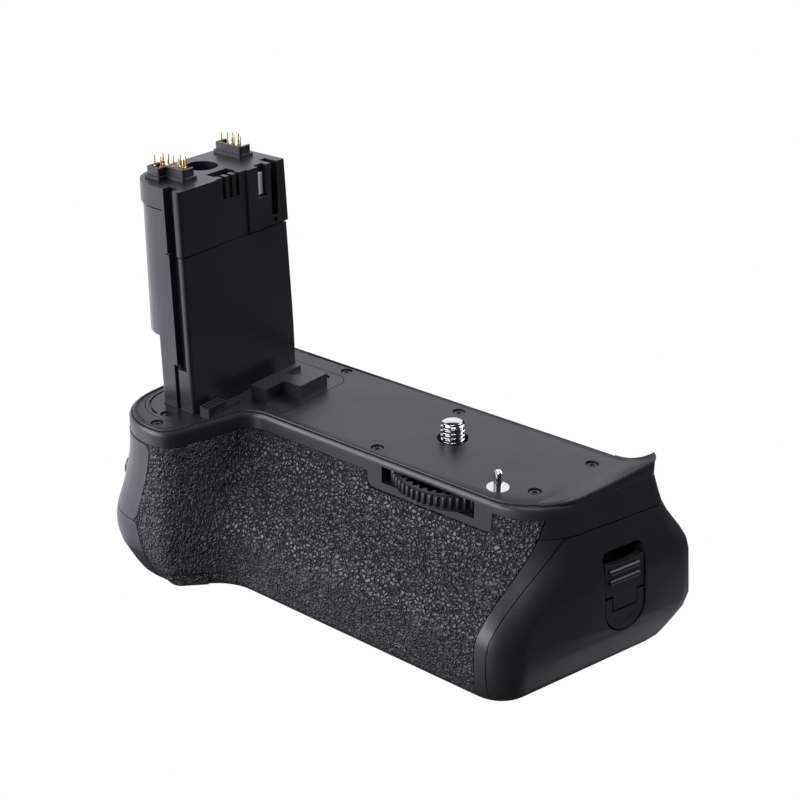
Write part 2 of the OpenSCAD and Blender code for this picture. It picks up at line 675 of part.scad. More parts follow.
// Connectors and contacts of the tower.
block_h = 3;
block_wall = 0.8;
block_floor = 1.2;
plinth_h = 0.9;
plinth_w = 0.5;
contact_tip = 0.4;
front_a = [-76.4, -71.8, -28.2, -22.4];
front_b = [-72.6, -65.8, -25.6, -21.6];
rear_a = [-78.8, -69.4, -1.6, 2.4];
front_pins = [[-75, -26.4], [-73, -26.2], [-75, -23.6], [-73, -23.6], [-71, -23.8], [-69, -23.9],
    [-67.2, -24], [-70, -22.4], [-68, -22.4]];
rear_pins = [[-77.5, -0.3], [-75.2, -0.3], [-72.9, -0.3], [-70.6, -0.3], [-75.2, 1.4], [-72.9, 1.4]];
module block(b, grow, h) {
    translate([0, 0, tower_h]) linear_extrude(h) round_rect(b[0] - grow, b[1] + grow, b[2] - grow, b[3] + grow,
        0.6);
}
// Pocket for the pins, walled at the front and both ends.
module pin_pocket(b, back) {
    span(b[0] + block_wall, b[1] - block_wall, b[2] + block_wall, b[3] + back, tower_h + block_floor, 99);
}
module pin_holes(list) at_points(list, tower_h) cylinder(d = contact_d, h = 9);
module connector_front() color(plastic) {
    difference() {
        union() {
            block(front_a, 0, block_h);
            block(front_b, 0, block_h);
            block(front_a, plinth_w, plinth_h);
            block(front_b, plinth_w, plinth_h);
        }
        pin_pocket(front_a, 5);
        pin_pocket([front_a[0], front_b[1], front_b[2], front_b[3]], 5);
        pin_holes(front_pins);
    }
}
module connector_rear() color(plastic) {
    difference() {
        union() {
            block(rear_a, 0, block_h);
            block(rear_a, plinth_w, plinth_h);
        }
        pin_pocket(rear_a, 5);
        pin_holes(rear_pins);
    }
}
module contact_pins(list) {
    stem = contact_h - contact_tip;
    at_points(list, tower_h) cylinder(d = contact_d, h = stem);
    at_points(list, tower_h + stem - eps) cylinder(d1 = contact_d, d2 = contact_d / 2, h = contact_tip + eps);
}
module contact_pins_front() color(gold) contact_pins(front_pins);
module contact_pins_rear() color(gold) contact_pins(rear_pins);
module battery_terminals() color(gold) {
    for (y = comb_y) span(tower_x[1] - 3.6, tower_x[1] - 3, y - 0.45, y + 0.45, 55, tower_h - 2);
}
module side_contact() color(metal) {
    span(tower_x[1] - 1.8, tower_x[1] - 1.2, contact_slot_y[0] + 0.3, contact_slot_y[1] - 0.3, 52.9, 58.8);
}

// Fasteners: pan heads in shallow recesses.
module screws(list, z, length) {
    at_points(list, z - head_t) cylinder(r = head_r, h = head_t);
    at_points(list, z - head_t - length) cylinder(r = shank_r, h = length + eps);
}
module cover_screws() color("#3a3a3d") screws(cover_screw_at, -0.2, 6);
module tower_screws() color("#3a3a3d") screws(tower_screw_at, -0.2, 2.4);
module bottom_screws() color("#3a3a3d") {
    mirror([0, 0, 1]) screws(bottom_screw_at, body_h - sunk, bottom_reach - sunk - head_t);
}
module alignment_pin() color(metal) {
    translate([align_at.x, align_at.y, 0]) {
        translate([0, 0, -cover_wall]) cylinder(r = pin_foot_r, h = cover_wall - pin_sunk - eps);
        translate([0, 0, -pin_sunk - pin_flange_t]) cylinder(r = pin_flange_r, h = pin_flange_t);
        translate([0, 0, -pin_sunk - eps]) cylinder(d = align_d, h = align_h + pin_sunk - pin_tip + eps);
        translate([0, 0, align_h - pin_tip - eps])
            cylinder(d1 = align_d, d2 = align_d - 2 * pin_tip, h = pin_tip + eps);
    }
}

// Drive: thumbwheel with internal teeth, pinion on the screw, cradle under both.
pressure = 20;
function involute(a) = tan(a) - a * PI / 180;
// One gear outline; play widens a ring's spaces or thins a pinion's teeth.
function gear_points(teeth, root, tip, play) =
    let (rp = gear_m * teeth / 2)
    let (rb = rp * cos(pressure))
    let (half = 90 / teeth + play / 2 / rp * 180 / PI)
    let (lead = involute(pressure) * 180 / PI)
    let (radii = [for (i = [0:3]) max(rb, root) + (tip - max(rb, root)) * i / 3])
    let (angle = [for (r = radii) half + lead - involute(acos(rb / r)) * 180 / PI])
    [for (k = [0:teeth - 1])
        let (g = 360 * k / teeth)
        each concat([root * [cos(g - angle[0]), sin(g - angle[0])]],
            [for (i = [0:3]) radii[i] * [cos(g - angle[i]), sin(g - angle[i])]],
            [for (i = [3:-1:0]) radii[i] * [cos(g + angle[i]), sin(g + angle[i])]],
            [root * [cos(g + angle[0]), sin(g + angle[0])]])];
mesh_angle = drive_angle + 180;
module thumbwheel() color(plastic) {
    translate([wheel_c.x, wheel_c.y, 0]) difference() {
        union() {
            translate([0, 0, -wheel_low]) linear_extrude(wheel_h) polygon([for (k = [0:wheel_grips - 1])
                let (g = 360 * k / wheel_grips)
                let (h = 90 / wheel_grips)
                each [for (q = [[-1, grip_depth], [-0.5, 0], [0.5, 0], [1, grip_depth]])
                    (wheel_d / 2 - q[1]) * [cos(g + q[0] * h), sin(g + q[0] * h)]]]);
            translate([0, 0, -wheel_low - flange_h]) cylinder(r = flange_r, h = flange_h + eps);
            translate([0, 0, -wheel_top - eps]) cylinder(r = flange_r, h = 0.2);
        }
        translate([0, 0, -gear_low - 1]) rotate(mesh_angle) linear_extrude(gear_low + 2)
            polygon(gear_points(ring_teeth, ring_r - 0.45, ring_r + gear_m, backlash));
    }
}
module screw_pinion() color("#b9973f") {
    translate([0, 0, -gear_low + 0.1]) difference() {
        rotate(mesh_angle) linear_extrude(gear_low - 0.1 - wheel_top - 0.2)
            polygon(gear_points(pinion_teeth, pinion_r - 0.8, pinion_r + 0.6, -backlash));
        translate([0, 0, -1]) cylinder(r = neck_r, h = 20);
    }
}
module attachment_screw() color(metal) {
    difference() {
        union() {
            translate([0, 0, -0.2]) cylinder(d = screw_d, h = screw_h - 0.6);
            translate([0, 0, screw_h - 0.8 - eps])
                cylinder(d1 = screw_d, d2 = screw_d - 2.4, h = 0.8 + eps);
            translate([0, 0, -gear_low + 0.1]) cylinder(r = neck_r, h = gear_low - 0.3 + eps);
            translate([0, 0, -cradle_d - cradle_t - 1]) cylinder(r = journal_r, h = cradle_t + 2);
        }
        translate([0, 0, screw_h - 0.4]) cube([0.9, 9, 2], center = true);
    }
}
module gear_cradle() color("#4a4a4e") {
    difference() {
        union() {
            translate([wheel_c.x, wheel_c.y, -cradle_d - cradle_t]) linear_extrude(cradle_t) difference() {
                union() {
                    circle(r = cradle_r);
                    for (a = post_angles) rotate(a) translate([post_reach, 0]) circle(r = post_r + 0.2);
                }
                translate([-50, -50 - plate_front + cradle_in - wheel_c.y]) square([100, 50]);
            }
            translate([wheel_c.x, wheel_c.y, -cradle_d - eps]) linear_extrude(flange_h - 0.1) difference() {
                circle(r = cradle_r - 0.4);
                circle(r = flange_r + run_gap);
                translate([-50, -50 - plate_front + cradle_in - wheel_c.y]) square([100, 50]);
            }
            translate([wheel_c.x, wheel_c.y, -cradle_d - eps]) for (a = post_angles) rotate(a)
                translate([post_reach, 0]) cylinder(r = post_r, h = cradle_d - cover_wall + eps);
        }
        translate([0, 0, -20]) cylinder(r = journal_r + journal_gap, h = 20);
        translate([wheel_c.x, wheel_c.y, -cradle_d + 0.3]) cylinder(r = flange_r + run_gap, h = 0.5);
    }
}

// Electronics inside.
board_d = 11;
board_t = 1.2;
board_left = -42;
board_end = 9;
board_y = [-13.5, 11.5];
board_post_r = 1.6;
chip_x = [-30, -18];
chip_y = [-6, 4];
chip_t = 1.2;
module main_board() color(board) {
    span(board_left, plate_right - board_end, board_y[0], board_y[1], -board_d, -board_d + board_t);
    posts = [[board_left + 4, -10], [board_left + 4, 8], [plate_right - board_end - 4, -6],
        [plate_right - board_end - 4, 8]];
    at_points(posts, -floor_d) cylinder(r = board_post_r, h = floor_d - board_d + eps);
    span(chip_x[0], chip_x[1], chip_y[0], chip_y[1], -board_d + board_t - eps, -board_d + board_t + chip_t);
}
ribbon_t = 0.4;
ribbon_w = 6;
module ribbon_cable() color("#8a5a2b") {
    x = (slot_x[0] + slot_x[1]) / 2;
    z = -board_d + board_t;
    translate([0, slot_y[1] - 2, 0]) rotate([90, 0, 0]) linear_extrude(ribbon_w)
        polygon([[board_left + 4, z], [board_left + 4, z + ribbon_t], [x + ribbon_t, z + ribbon_t], [x + ribbon_t, head_step_z - 1],
            [x, head_step_z - 1], [x, z]]);
}
module well_contacts() color(gold) {
    span(well_x - spring_t, well_x - spring_in, window_y[0] + window_in, window_y[1] - window_in,
        window_z[0] + window_in, window_z[1] - window_in);
    for (y = spring_y) span(well_x - spring_in - eps, well_x + 0.1, y, y + spring_w, spring_z[0], spring_z[1]);
}
module tripod_socket() color(metal) {
    translate([0, 0, -body_h + 0.1]) difference() {
        cylinder(r = tripod_r, h = tripod_t - 0.1);
        translate([0, 0, -1]) cylinder(r = tripod_bore, h = 20);
    }
}

// Magazine: cap on the right end, tray with two bays and its contacts.
latch_mid = [0.5, 24.5];
latch_at = [end_x(latch_mid.y) + latch_mid.x * slope - 0.2, latch_mid.x, -latch_mid.y];
latch_tilt = 7;
latch_top = 11;
latch_bottom = -11.5;
latch_gap = 0.45;
disc_r = latch_w / 2 - latch_gap;
disc_z = latch_bottom + latch_w / 2;
module at_latch() translate(latch_at) rotate(-end_slant) rotate([0, -latch_tilt, 0]) children();
// Plate in the latch's own frame, from a profile across and up the face.
module latch_plate(x0, x1) {
    translate([x0, 0, 0]) rotate([90, 0, 90]) linear_extrude(x1 - x0) children();
}
module latch_profile(grow) {
    w = latch_w / 2 + grow;
    polygon([for (p = round_outline([[-w, latch_top + grow, 2], [-w, disc_z - 0.1, 0.05],
        [w, disc_z - 0.1, 0.05], [w, latch_top + grow, 2]], 6)) flat(p)]);
    translate([0, disc_z]) circle(r = w);
}
tab_pin = [-1.5, -2.6];
pin_r = 0.5;
pin_gap = 0.05;
ear_top = tab_pin.y + 0.85;
notch_w = 8;
notch_low = -5.5;
spindle_r = 2.6;
spindle_gap = 0.05;
module magazine_cap() color(plastic) {
    difference() {
        loft(body_depths(seam_d + 2 * seam_gap));
        body_side(cap_x + seam_gap);
        at_latch() latch_plate(-latch_d, 9) latch_profile(0);
        at_cap_screws() cylinder(r = shank_r, h = cap_screw);
        at_latch() translate([-20, 0, disc_z]) rotate([0, 90, 0]) cylinder(r = spindle_r + spindle_gap, h = 20);
    }
}
cap_screw = 3;
cap_screw_in = 7.6;
module at_cap_screws() {
    for (y = [tray_y[0] + cap_screw_in, tray_y[1] - cap_screw_in])
        translate([cap_x + y * seam_slope, y, -28]) rotate([0, 90, -seam_slant]) children();
}
module magazine_tray() color(plastic) {
    difference() {
        translate([0, 0, -tray_low]) linear_extrude(bay_h + tray_wall)
            round_rect(tray_left, well_end, tray_y[0], tray_y[1], tray_r);
        cap_side(cap_x + seam_gap);
        for (i = [0, 1]) translate([tray_left + tray_wall + i * (bay_l + tray_wall), 0, 0]) {
            translate([0, 0, -tray_top - bay_h]) linear_extrude(30)
                round_rect(0, bay_l, tray_y[0] + tray_wall, tray_y[1] - tray_wall, tray_r - tray_wall);
            translate([bay_l / 2, 0, -tray_top]) rotate([90, 0, 0]) cylinder(r = 9, h = 80, center = true);
        }
        at_latch() translate([-12.4, 0, disc_z]) rotate([0, 90, 0]) cylinder(r = 5, h = 12);
        span(tray_left - 1, tray_left + window_in, window_y[0], window_y[1], window_z[0], window_z[1]);
        at_cap_screws() translate([0, 0, -cap_screw - 30]) cylinder(r = head_r + head_gap, h = 30);
        at_cap_screws() translate([0, 0, -cap_screw - 1]) cylinder(r = shank_r, h = 30);
    }
}
plate_in = 1.5;
blade_y = [-8, -2, 4];
blade_z = [-34, -22];
blade_t = 0.5;
blade_w = 3.2;
module tray_contacts() color(gold) {
    span(tray_left, tray_left + window_in, window_y[0] + plate_in, window_y[1] - plate_in,
        window_z[0] + plate_in, window_z[1] - plate_in);
    for (i = [0, 1]) for (y = blade_y) translate([tray_left + tray_wall + i * (bay_l + tray_wall), y, 0])
        span(0, blade_t, -blade_w / 2, blade_w / 2, blade_z[0], blade_z[1]);
}
module release_knob() color(plastic) {
    at_latch() difference() {
        union() {
            latch_plate(-3.2, -0.3) intersection() {
                union() {
                    translate([0, disc_z]) circle(r = disc_r);
                    translate([-disc_r, disc_z]) square([2 * disc_r, ear_top - disc_z]);
                }
                translate([-20, -20]) square([40, 20 + ear_top]);
            }
            translate([-9, 0, disc_z]) rotate([0, 90, 0]) cylinder(r = spindle_r, h = 6);
        }
        span(-latch_d + 0.1, 5, -notch_w / 2, notch_w / 2, notch_low, 9);
        translate([tab_pin.x, -20, tab_pin.y]) rotate([-90, 0, 0]) cylinder(r = pin_r, h = 40);
    }
}
tab_w = latch_w - 2 * latch_gap;
tab_low = tab_pin.y + 1.6;
tab_high = 7.7;
tab_scoop = 24;
tab_dip = 0.8;
tab_x0 = -2.4;
tab_x1 = -0.2;
module release_tab() color(plastic) {
    at_latch() difference() {
        union() {
            latch_plate(tab_x0, tab_x1) difference() {
                union() {
                    round_rect(-tab_w / 2, tab_w / 2, tab_low, tab_high, 0.6);
                    translate([-notch_w / 2 + 0.3, tab_pin.y - 2.3]) square([notch_w - 0.6, 4.5]);
                }
                translate([0, tab_high - tab_dip + tab_scoop]) circle(r = tab_scoop);
            }
            for (z = [2.6, 5.2]) translate([tab_x1 - 0.2, 0, z]) rotate([90, 0, 0])
                cylinder(r = 0.8, h = tab_w - 3, center = true);
        }
        translate([tab_pin.x, -20, tab_pin.y]) rotate([-90, 0, 0]) cylinder(r = pin_r + pin_gap, h = 40);
    }
}
module tab_hinge_pin() color(metal) {
    at_latch() translate([tab_pin.x, -disc_r + 0.8, tab_pin.y]) rotate([-90, 0, 0])
        cylinder(r = pin_r, h = 2 * disc_r - 1.6);
}
module latch_cam() color(metal) {
    at_latch() translate([-11, 0, disc_z]) rotate([0, 90, 0]) difference() {
        cylinder(r = 4.4, h = 2);
        translate([0, 0, -1]) cylinder(r = spindle_r - 1, h = 5);
    }
}
module magazine_screws() color("#3a3a3d") {
    at_cap_screws() {
        translate([0, 0, -cap_screw - head_t / 2]) cylinder(r = shank_r, h = 2 * cap_screw + head_t / 2);
        translate([0, 0, -cap_screw - head_t]) cylinder(r = head_r, h = head_t);
    }
}

// Controls on the hidden sides.
module shutter_button() color("#3a3a3d") {
    x = left_x(-shutter_at.y) - 0.1;
    back = shutter_stop + stop_gap;
    translate([0, shutter_at.x, shutter_at.y]) rotate([0, 90, 0]) {
        translate([0, 0, x]) cylinder(d1 = shutter_d - 1, d2 = shutter_d, h = 0.5);
        translate([0, 0, x + 0.5 - eps]) cylinder(d = shutter_d, h = back + eps - x - 0.5);
        translate([0, 0, back]) cylinder(r = shutter_d / 2 + shutter_rim, h = stop_t);
    }
}
// Board on the chamber floor, with a key that the button meets at the end of its travel.
key_t = 0.8;
module shutter_switch() color(board) {
    x = shutter_stop + 2 * stop_gap + stop_t + shutter_travel + key_t;
    span(x, x + board_t, shutter_at.x - 4.6, shutter_at.x + 4, -chamber_d, -15);
    translate([x + eps, shutter_at.x, shutter_at.y]) rotate([0, -90, 0]) cylinder(r = 2, h = key_t);
}
module main_dial() color(plastic) {
    translate(dial_at) rotate([90, 0, 0]) difference() {
        linear_extrude(dial_w, center = true) polygon([for (k = [0:dial_ribs - 1])
            let (g = 360 * k / dial_ribs)
            let (h = 90 / dial_ribs)
            each [for (q = [[-1, 0.6], [-0.5, 0], [0.5, 0], [1, 0.6]])
                (dial_d / 2 - q[1]) * [cos(g + q[0] * h), sin(g + q[0] * h)]]]);
        cylinder(r = dial_shaft_r + journal_gap, h = 20, center = true);
    }
}
module dial_shaft() color(metal) {
    translate(dial_at) rotate([90, 0, 0]) cylinder(r = dial_shaft_r, h = dial_shaft_l, center = true);
}
module power_switch() color("#3a3a3d") {
    span(left_x(-switch_at.y) - 0.8, left_x(-switch_at.y) + 0.8, switch_at.x - 2.2, switch_at.x + 2.2,
        switch_at.y - 2, switch_at.y + 2);
}
button_stop = back_y(floor_plan) - body_wall - stop_gap - stop_t;
dome_t = 0.3;
module back_button(x) {
    y = back_y(-button_z);
    translate([x, 0, button_z]) rotate([-90, 0, 0]) {
        translate([0, 0, button_stop]) cylinder(r = button_d / 2 + button_rim, h = stop_t);
        translate([0, 0, button_stop]) cylinder(d = button_d, h = y + 0.4 - button_stop);
        translate([0, 0, y + 0.4 - eps]) cylinder(d1 = button_d, d2 = button_d - 1, h = 0.5);
    }
}
module af_start_button() color("#3a3a3d") back_button(button_x[0]);
module ae_lock_button() color("#3a3a3d") back_button(button_x[1]);
module focus_point_button() color("#3a3a3d") back_button(button_x[2]);
module rear_button_board() color(board) {
    y = button_stop - stop_gap - button_travel - dome_t;
    span(button_x[2] - 5, button_x[0] + 3.6, y - board_t, y, -floor_d, -8.8);
    for (x = button_x) translate([x, y - eps, button_z]) rotate([-90, 0, 0]) cylinder(r = 1.5, h = dome_t);
}

top_cover();
body_shell();
rubber_grip();
rear_thumb_pad();
control_panel();
tower_base_plate();
tower_column();
tower_head();
connector_front();
connector_rear();
contact_pins_front();
contact_pins_rear();
battery_terminals();
side_contact();
cover_screws();
tower_screws();
alignment_pin();
gear_cradle();
attachment_screw();
screw_pinion();
thumbwheel();
main_board();
ribbon_cable();
well_contacts();
tripod_socket();
bottom_screws();
magazine_cap();
magazine_tray();
tray_contacts();
release_knob();
release_tab();
tab_hinge_pin();
latch_cam();
magazine_screws();
shutter_button();
shutter_switch();
main_dial();
dial_shaft();
power_switch();
af_start_button();
ae_lock_button();
focus_point_button();
rear_button_board();
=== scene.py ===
import json
import math

import bmesh
import bpy
from mathutils import Matrix, Vector
from mathutils.bvhtree import BVHTree


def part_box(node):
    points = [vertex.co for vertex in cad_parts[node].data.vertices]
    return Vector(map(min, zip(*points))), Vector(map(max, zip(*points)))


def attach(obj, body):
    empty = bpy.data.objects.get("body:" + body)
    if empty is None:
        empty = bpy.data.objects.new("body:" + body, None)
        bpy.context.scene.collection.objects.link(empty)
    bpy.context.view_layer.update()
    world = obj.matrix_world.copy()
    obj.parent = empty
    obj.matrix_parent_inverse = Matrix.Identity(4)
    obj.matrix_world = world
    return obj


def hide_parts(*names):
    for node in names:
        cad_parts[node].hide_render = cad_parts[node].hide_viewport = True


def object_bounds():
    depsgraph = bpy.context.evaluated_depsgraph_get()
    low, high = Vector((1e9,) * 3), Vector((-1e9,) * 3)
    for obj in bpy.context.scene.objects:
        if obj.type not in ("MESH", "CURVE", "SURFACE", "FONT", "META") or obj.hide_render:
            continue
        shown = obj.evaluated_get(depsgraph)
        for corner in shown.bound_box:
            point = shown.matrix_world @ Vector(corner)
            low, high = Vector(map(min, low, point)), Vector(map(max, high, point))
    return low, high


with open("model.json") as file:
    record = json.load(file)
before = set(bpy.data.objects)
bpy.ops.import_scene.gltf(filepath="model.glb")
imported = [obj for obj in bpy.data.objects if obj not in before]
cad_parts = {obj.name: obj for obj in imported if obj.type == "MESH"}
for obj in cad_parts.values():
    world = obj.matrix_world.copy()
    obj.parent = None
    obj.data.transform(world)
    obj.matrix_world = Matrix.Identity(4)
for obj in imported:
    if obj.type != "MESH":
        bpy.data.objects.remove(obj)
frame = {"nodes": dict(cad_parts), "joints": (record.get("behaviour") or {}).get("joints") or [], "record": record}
cadBox = [list(corner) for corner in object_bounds()]
cadNodes = frame["nodes"]
joints = {joint["name"]: joint for joint in frame["joints"]}
nodeSlot = {part["node"]: part["material_slot"] for part in frame["record"]["subparts"]}
bodyNodes = frame["record"]["behaviour"]["bodies"]
nodeBody = {node: body for body, members in bodyNodes.items() for node in members}
mm = 0.001  # forms are given in millimetres, the patterns of finishes in metres
print("frame loaded:", len(cadNodes), "nodes")


# camera, fitted to the plate's corners, the screw and the tower in the photo
photoCamera = {
    "target": (-15.53, 0.0, 6.73),
    "distance": 365.8,
    "azimuth": 38.29,
    "elevation": 25.86,
    "focalPixels": 1409.7,
    "axisPixel": (405.0, 397.4),
    "imageSize": 800,
    "sensor": 36.0,
    "nearest": 10.0,
}


def direction(azimuth, elevation):
    turn, tilt = math.radians(azimuth), math.radians(elevation)
    return Vector((math.sin(turn) * math.cos(tilt), -math.cos(turn) * math.cos(tilt), math.sin(tilt)))


def placeCamera(view):
    back = direction(view["azimuth"], view["elevation"])
    lens = bpy.data.cameras.new("photoCamera")
    lens.sensor_width = view["sensor"]
    lens.lens = view["focalPixels"] * view["sensor"] / view["imageSize"]
    half = view["imageSize"] / 2
    lens.shift_x = (half - view["axisPixel"][0]) / view["imageSize"]
    lens.shift_y = (view["axisPixel"][1] - half) / view["imageSize"]
    lens.clip_start = view["nearest"] * mm
    camera = bpy.data.objects.new("photoCamera", lens)
    camera.location = (Vector(view["target"]) + back * view["distance"]) * mm
    camera.rotation_euler = back.to_track_quat("Z", "Y").to_euler()
    bpy.context.scene.collection.objects.link(camera)
    bpy.context.scene.camera = camera


placeCamera(photoCamera)


# node helpers shared by shader and geometry trees: a value is a number or another node's socket
def feed(tree, socket, value):
    if isinstance(value, (tuple, int, float)):
        socket.default_value = value
    elif value is not None:
        tree.links.new(value, socket)


def calc(tree, operation, first, second=None, third=None):
    node = tree.nodes.new("ShaderNodeMath")
    node.operation = operation
    for socket, value in zip(node.inputs, (first, second, third)):
        feed(tree, socket, value)
    return node.outputs[0]


def spread(tree, value, low, high, toLow, toHigh, smooth=False):
    node = tree.nodes.new("ShaderNodeMapRange")
    node.interpolation_type = "SMOOTHSTEP" if smooth else "LINEAR"
    for socket, setting in zip(node.inputs, (value, low, high, toLow, toHigh)):
        feed(tree, socket, setting)
    return node.outputs[0]


def vectorCalc(tree, operation, first, second=None, scale=None):
    node = tree.nodes.new("ShaderNodeVectorMath")
    node.operation = operation
    for number, value in ((0, first), (1, second), (3, scale)):
        feed(tree, node.inputs[number], value)
    return node.outputs[0]


# shared shader groups: each puts out only what changes over the surface
noiseSpan = (0.3, 0.7)  # where most of a noise lies


def newGroup(name, inputs, outputs):
    tree = bpy.data.node_groups.new(name, "ShaderNodeTree")
    for label, value in inputs.items():
        socket = tree.interface.new_socket(label, in_out="INPUT", socket_type="NodeSocketFloat")
        socket.default_value = value
    for label in outputs:
        tree.interface.new_socket(label, in_out="OUTPUT", socket_type="NodeSocketFloat")
    return tree, tree.nodes.new("NodeGroupInput"), tree.nodes.new("NodeGroupOutput")


def noise(tree, place, size, detail, roughness=0.5, give="Fac"):
    node = tree.nodes.new("ShaderNodeTexNoise")
    node.inputs["Detail"].default_value = detail
    node.inputs["Roughness"].default_value = roughness
    tree.links.new(place, node.inputs["Vector"])
    tree.links.new(calc(tree, "DIVIDE", 1.0, size), node.inputs["Scale"])
    return node.outputs[give]


def swing(tree, value):
    return spread(tree, value, *noiseSpan, -1.0, 1.0)


def surfacePlace(tree):
    return tree.nodes.new("ShaderNodeTexCoord").outputs["Object"]


grainPattern = {
    "grainDetail": 2.0, "patchDetail": 4.0, "speckle": 0.03, "tintOfGrain": 0.4, "tintOfPatch": 0.6,
}


def mouldedGrainGroup(pattern):
    tree, given, result = newGroup(
        "mouldedGrain",
        {"Grain Size": 0.0003, "Patch Size": 0.012, "Base Roughness": 0.4, "Roughness Spread": 0.05},
        ("Height", "Roughness", "Tint"))
    place = surfacePlace(tree)
    grain = noise(tree, place, given.outputs["Grain Size"], pattern["grainDetail"])
    patch = noise(tree, place, given.outputs["Patch Size"], pattern["patchDetail"])
    shift = calc(tree, "MULTIPLY", swing(tree, patch), given.outputs["Roughness Spread"])
    rough = calc(tree, "ADD", given.outputs["Base Roughness"], shift)
    speckled = calc(tree, "MULTIPLY_ADD", swing(tree, grain), pattern["speckle"], rough)
    patchTint = calc(tree, "MULTIPLY", patch, pattern["tintOfPatch"])
    tint = calc(tree, "MULTIPLY_ADD", grain, pattern["tintOfGrain"], patchTint)
    tree.links.new(grain, result.inputs["Height"])
    tree.links.new(speckled, result.inputs["Roughness"])
    tree.links.new(tint, result.inputs["Tint"])
    return tree


pebblePattern = {  # sizes are shares of a cell
    "driftSize": 1.4, "driftDetail": 1.0, "domeReach": 0.42, "rise": (0.2, 0.34),
    "mixSize": 1.3, "mixDetail": 1.0, "mixSpan": (0.38, 0.58), "leastGroove": 0.1, "grooveRough": 0.25,
    "skinSize": 0.25, "skinDetail": 2.0, "skinHeight": 0.08, "skinRough": 0.1,
}


def pebbleGroup(pattern):
    tree, given, result = newGroup(
        "pebbledRubber",
        {"Cell Size": 0.0013, "Groove Width": 0.2, "Warp": 0.5, "Base Roughness": 0.45},
        ("Height", "Groove", "Roughness"))
    place = surfacePlace(tree)
    size = given.outputs["Cell Size"]
    driftSize, mixSize, skinSize = (
        calc(tree, "MULTIPLY", size, pattern[key]) for key in ("driftSize", "mixSize", "skinSize"))
    drift = noise(tree, place, driftSize, pattern["driftDetail"], give="Color")
    centred = vectorCalc(tree, "SUBTRACT", drift, (0.5, 0.5, 0.5))
    reach = calc(tree, "MULTIPLY", size, given.outputs["Warp"])
    warped = vectorCalc(tree, "ADD", place, vectorCalc(tree, "SCALE", centred, scale=reach))
    edges, domes = (tree.nodes.new("ShaderNodeTexVoronoi") for feature in range(2))
    edges.feature = "DISTANCE_TO_EDGE"
    for cells in (edges, domes):
        tree.links.new(warped, cells.inputs["Vector"])
        tree.links.new(calc(tree, "DIVIDE", 1.0, size), cells.inputs["Scale"])
    chance = tree.nodes.new("ShaderNodeSeparateColor")
    tree.links.new(domes.outputs["Color"], chance.inputs[0])
    fromEdge = edges.outputs["Distance"]
    top = spread(tree, fromEdge, 0.0, given.outputs["Groove Width"], 0.0, 1.0, True)
    slope = spread(tree, fromEdge, 0.0, pattern["domeReach"], 1.0, 0.0)
    crown = calc(tree, "SUBTRACT", 1.0, calc(tree, "MULTIPLY", slope, slope))
    mixing = noise(tree, place, mixSize, pattern["mixDetail"])
    joined = spread(tree, mixing, *pattern["mixSpan"], pattern["leastGroove"], 1.0, True)
    # groove mask: it deepens the bump and raises roughness, and in the rubber finish it also paints shade into the
    # creases
    groove = calc(tree, "MULTIPLY", calc(tree, "SUBTRACT", 1.0, top), joined)
    lift = spread(tree, chance.outputs[0], 0.0, 1.0, *pattern["rise"])
    formed = calc(tree, "SUBTRACT", calc(tree, "MULTIPLY", crown, lift), groove)
    skin = noise(tree, place, skinSize, pattern["skinDetail"])
    height = calc(tree, "MULTIPLY_ADD", skin, pattern["skinHeight"], formed)
    fine = calc(tree, "MULTIPLY_ADD", skin, pattern["skinRough"], given.outputs["Base Roughness"])
    rough = calc(tree, "MULTIPLY_ADD", groove, pattern["grooveRough"], fine)
    tree.links.new(height, result.inputs["Height"])
    tree.links.new(groove, result.inputs["Groove"])
    tree.links.new(rough, result.inputs["Roughness"])
    return tree


machinedPattern = {
    "stretch": (0.25, 0.25, 2.0), "streakDetail": 3.0, "streakRoughness": 0.6,
    "smudgeSize": 8.0, "smudgeDetail": 2.0,
}


def machinedGroup(pattern):
    tree, given, result = newGroup(
        "machinedMetal",
        {"Streak Size": 0.0004, "Base Roughness": 0.2, "Roughness Spread": 0.08},
        ("Height", "Roughness", "Tint"))
    place, size = surfacePlace(tree), given.outputs["Streak Size"]
    stretch = tree.nodes.new("ShaderNodeMapping")
    stretch.inputs["Scale"].default_value = pattern["stretch"]
    tree.links.new(place, stretch.inputs["Vector"])
    streak = noise(tree, stretch.outputs[0], size, pattern["streakDetail"], pattern["streakRoughness"])
    smudgeSize = calc(tree, "MULTIPLY", size, pattern["smudgeSize"])
    smudge = noise(tree, place, smudgeSize, pattern["smudgeDetail"])
    shift = calc(tree, "MULTIPLY", swing(tree, streak), given.outputs["Roughness Spread"])
    rough = calc(tree, "ADD", given.outputs["Base Roughness"], shift)
    tree.links.new(streak, result.inputs["Height"])
    tree.links.new(rough, result.inputs["Roughness"])
    tree.links.new(smudge, result.inputs["Tint"])
    return tree


grainTree = mouldedGrainGroup(grainPattern)
pebbleTree = pebbleGroup(pebblePattern)
machinedTree = machinedGroup(machinedPattern)


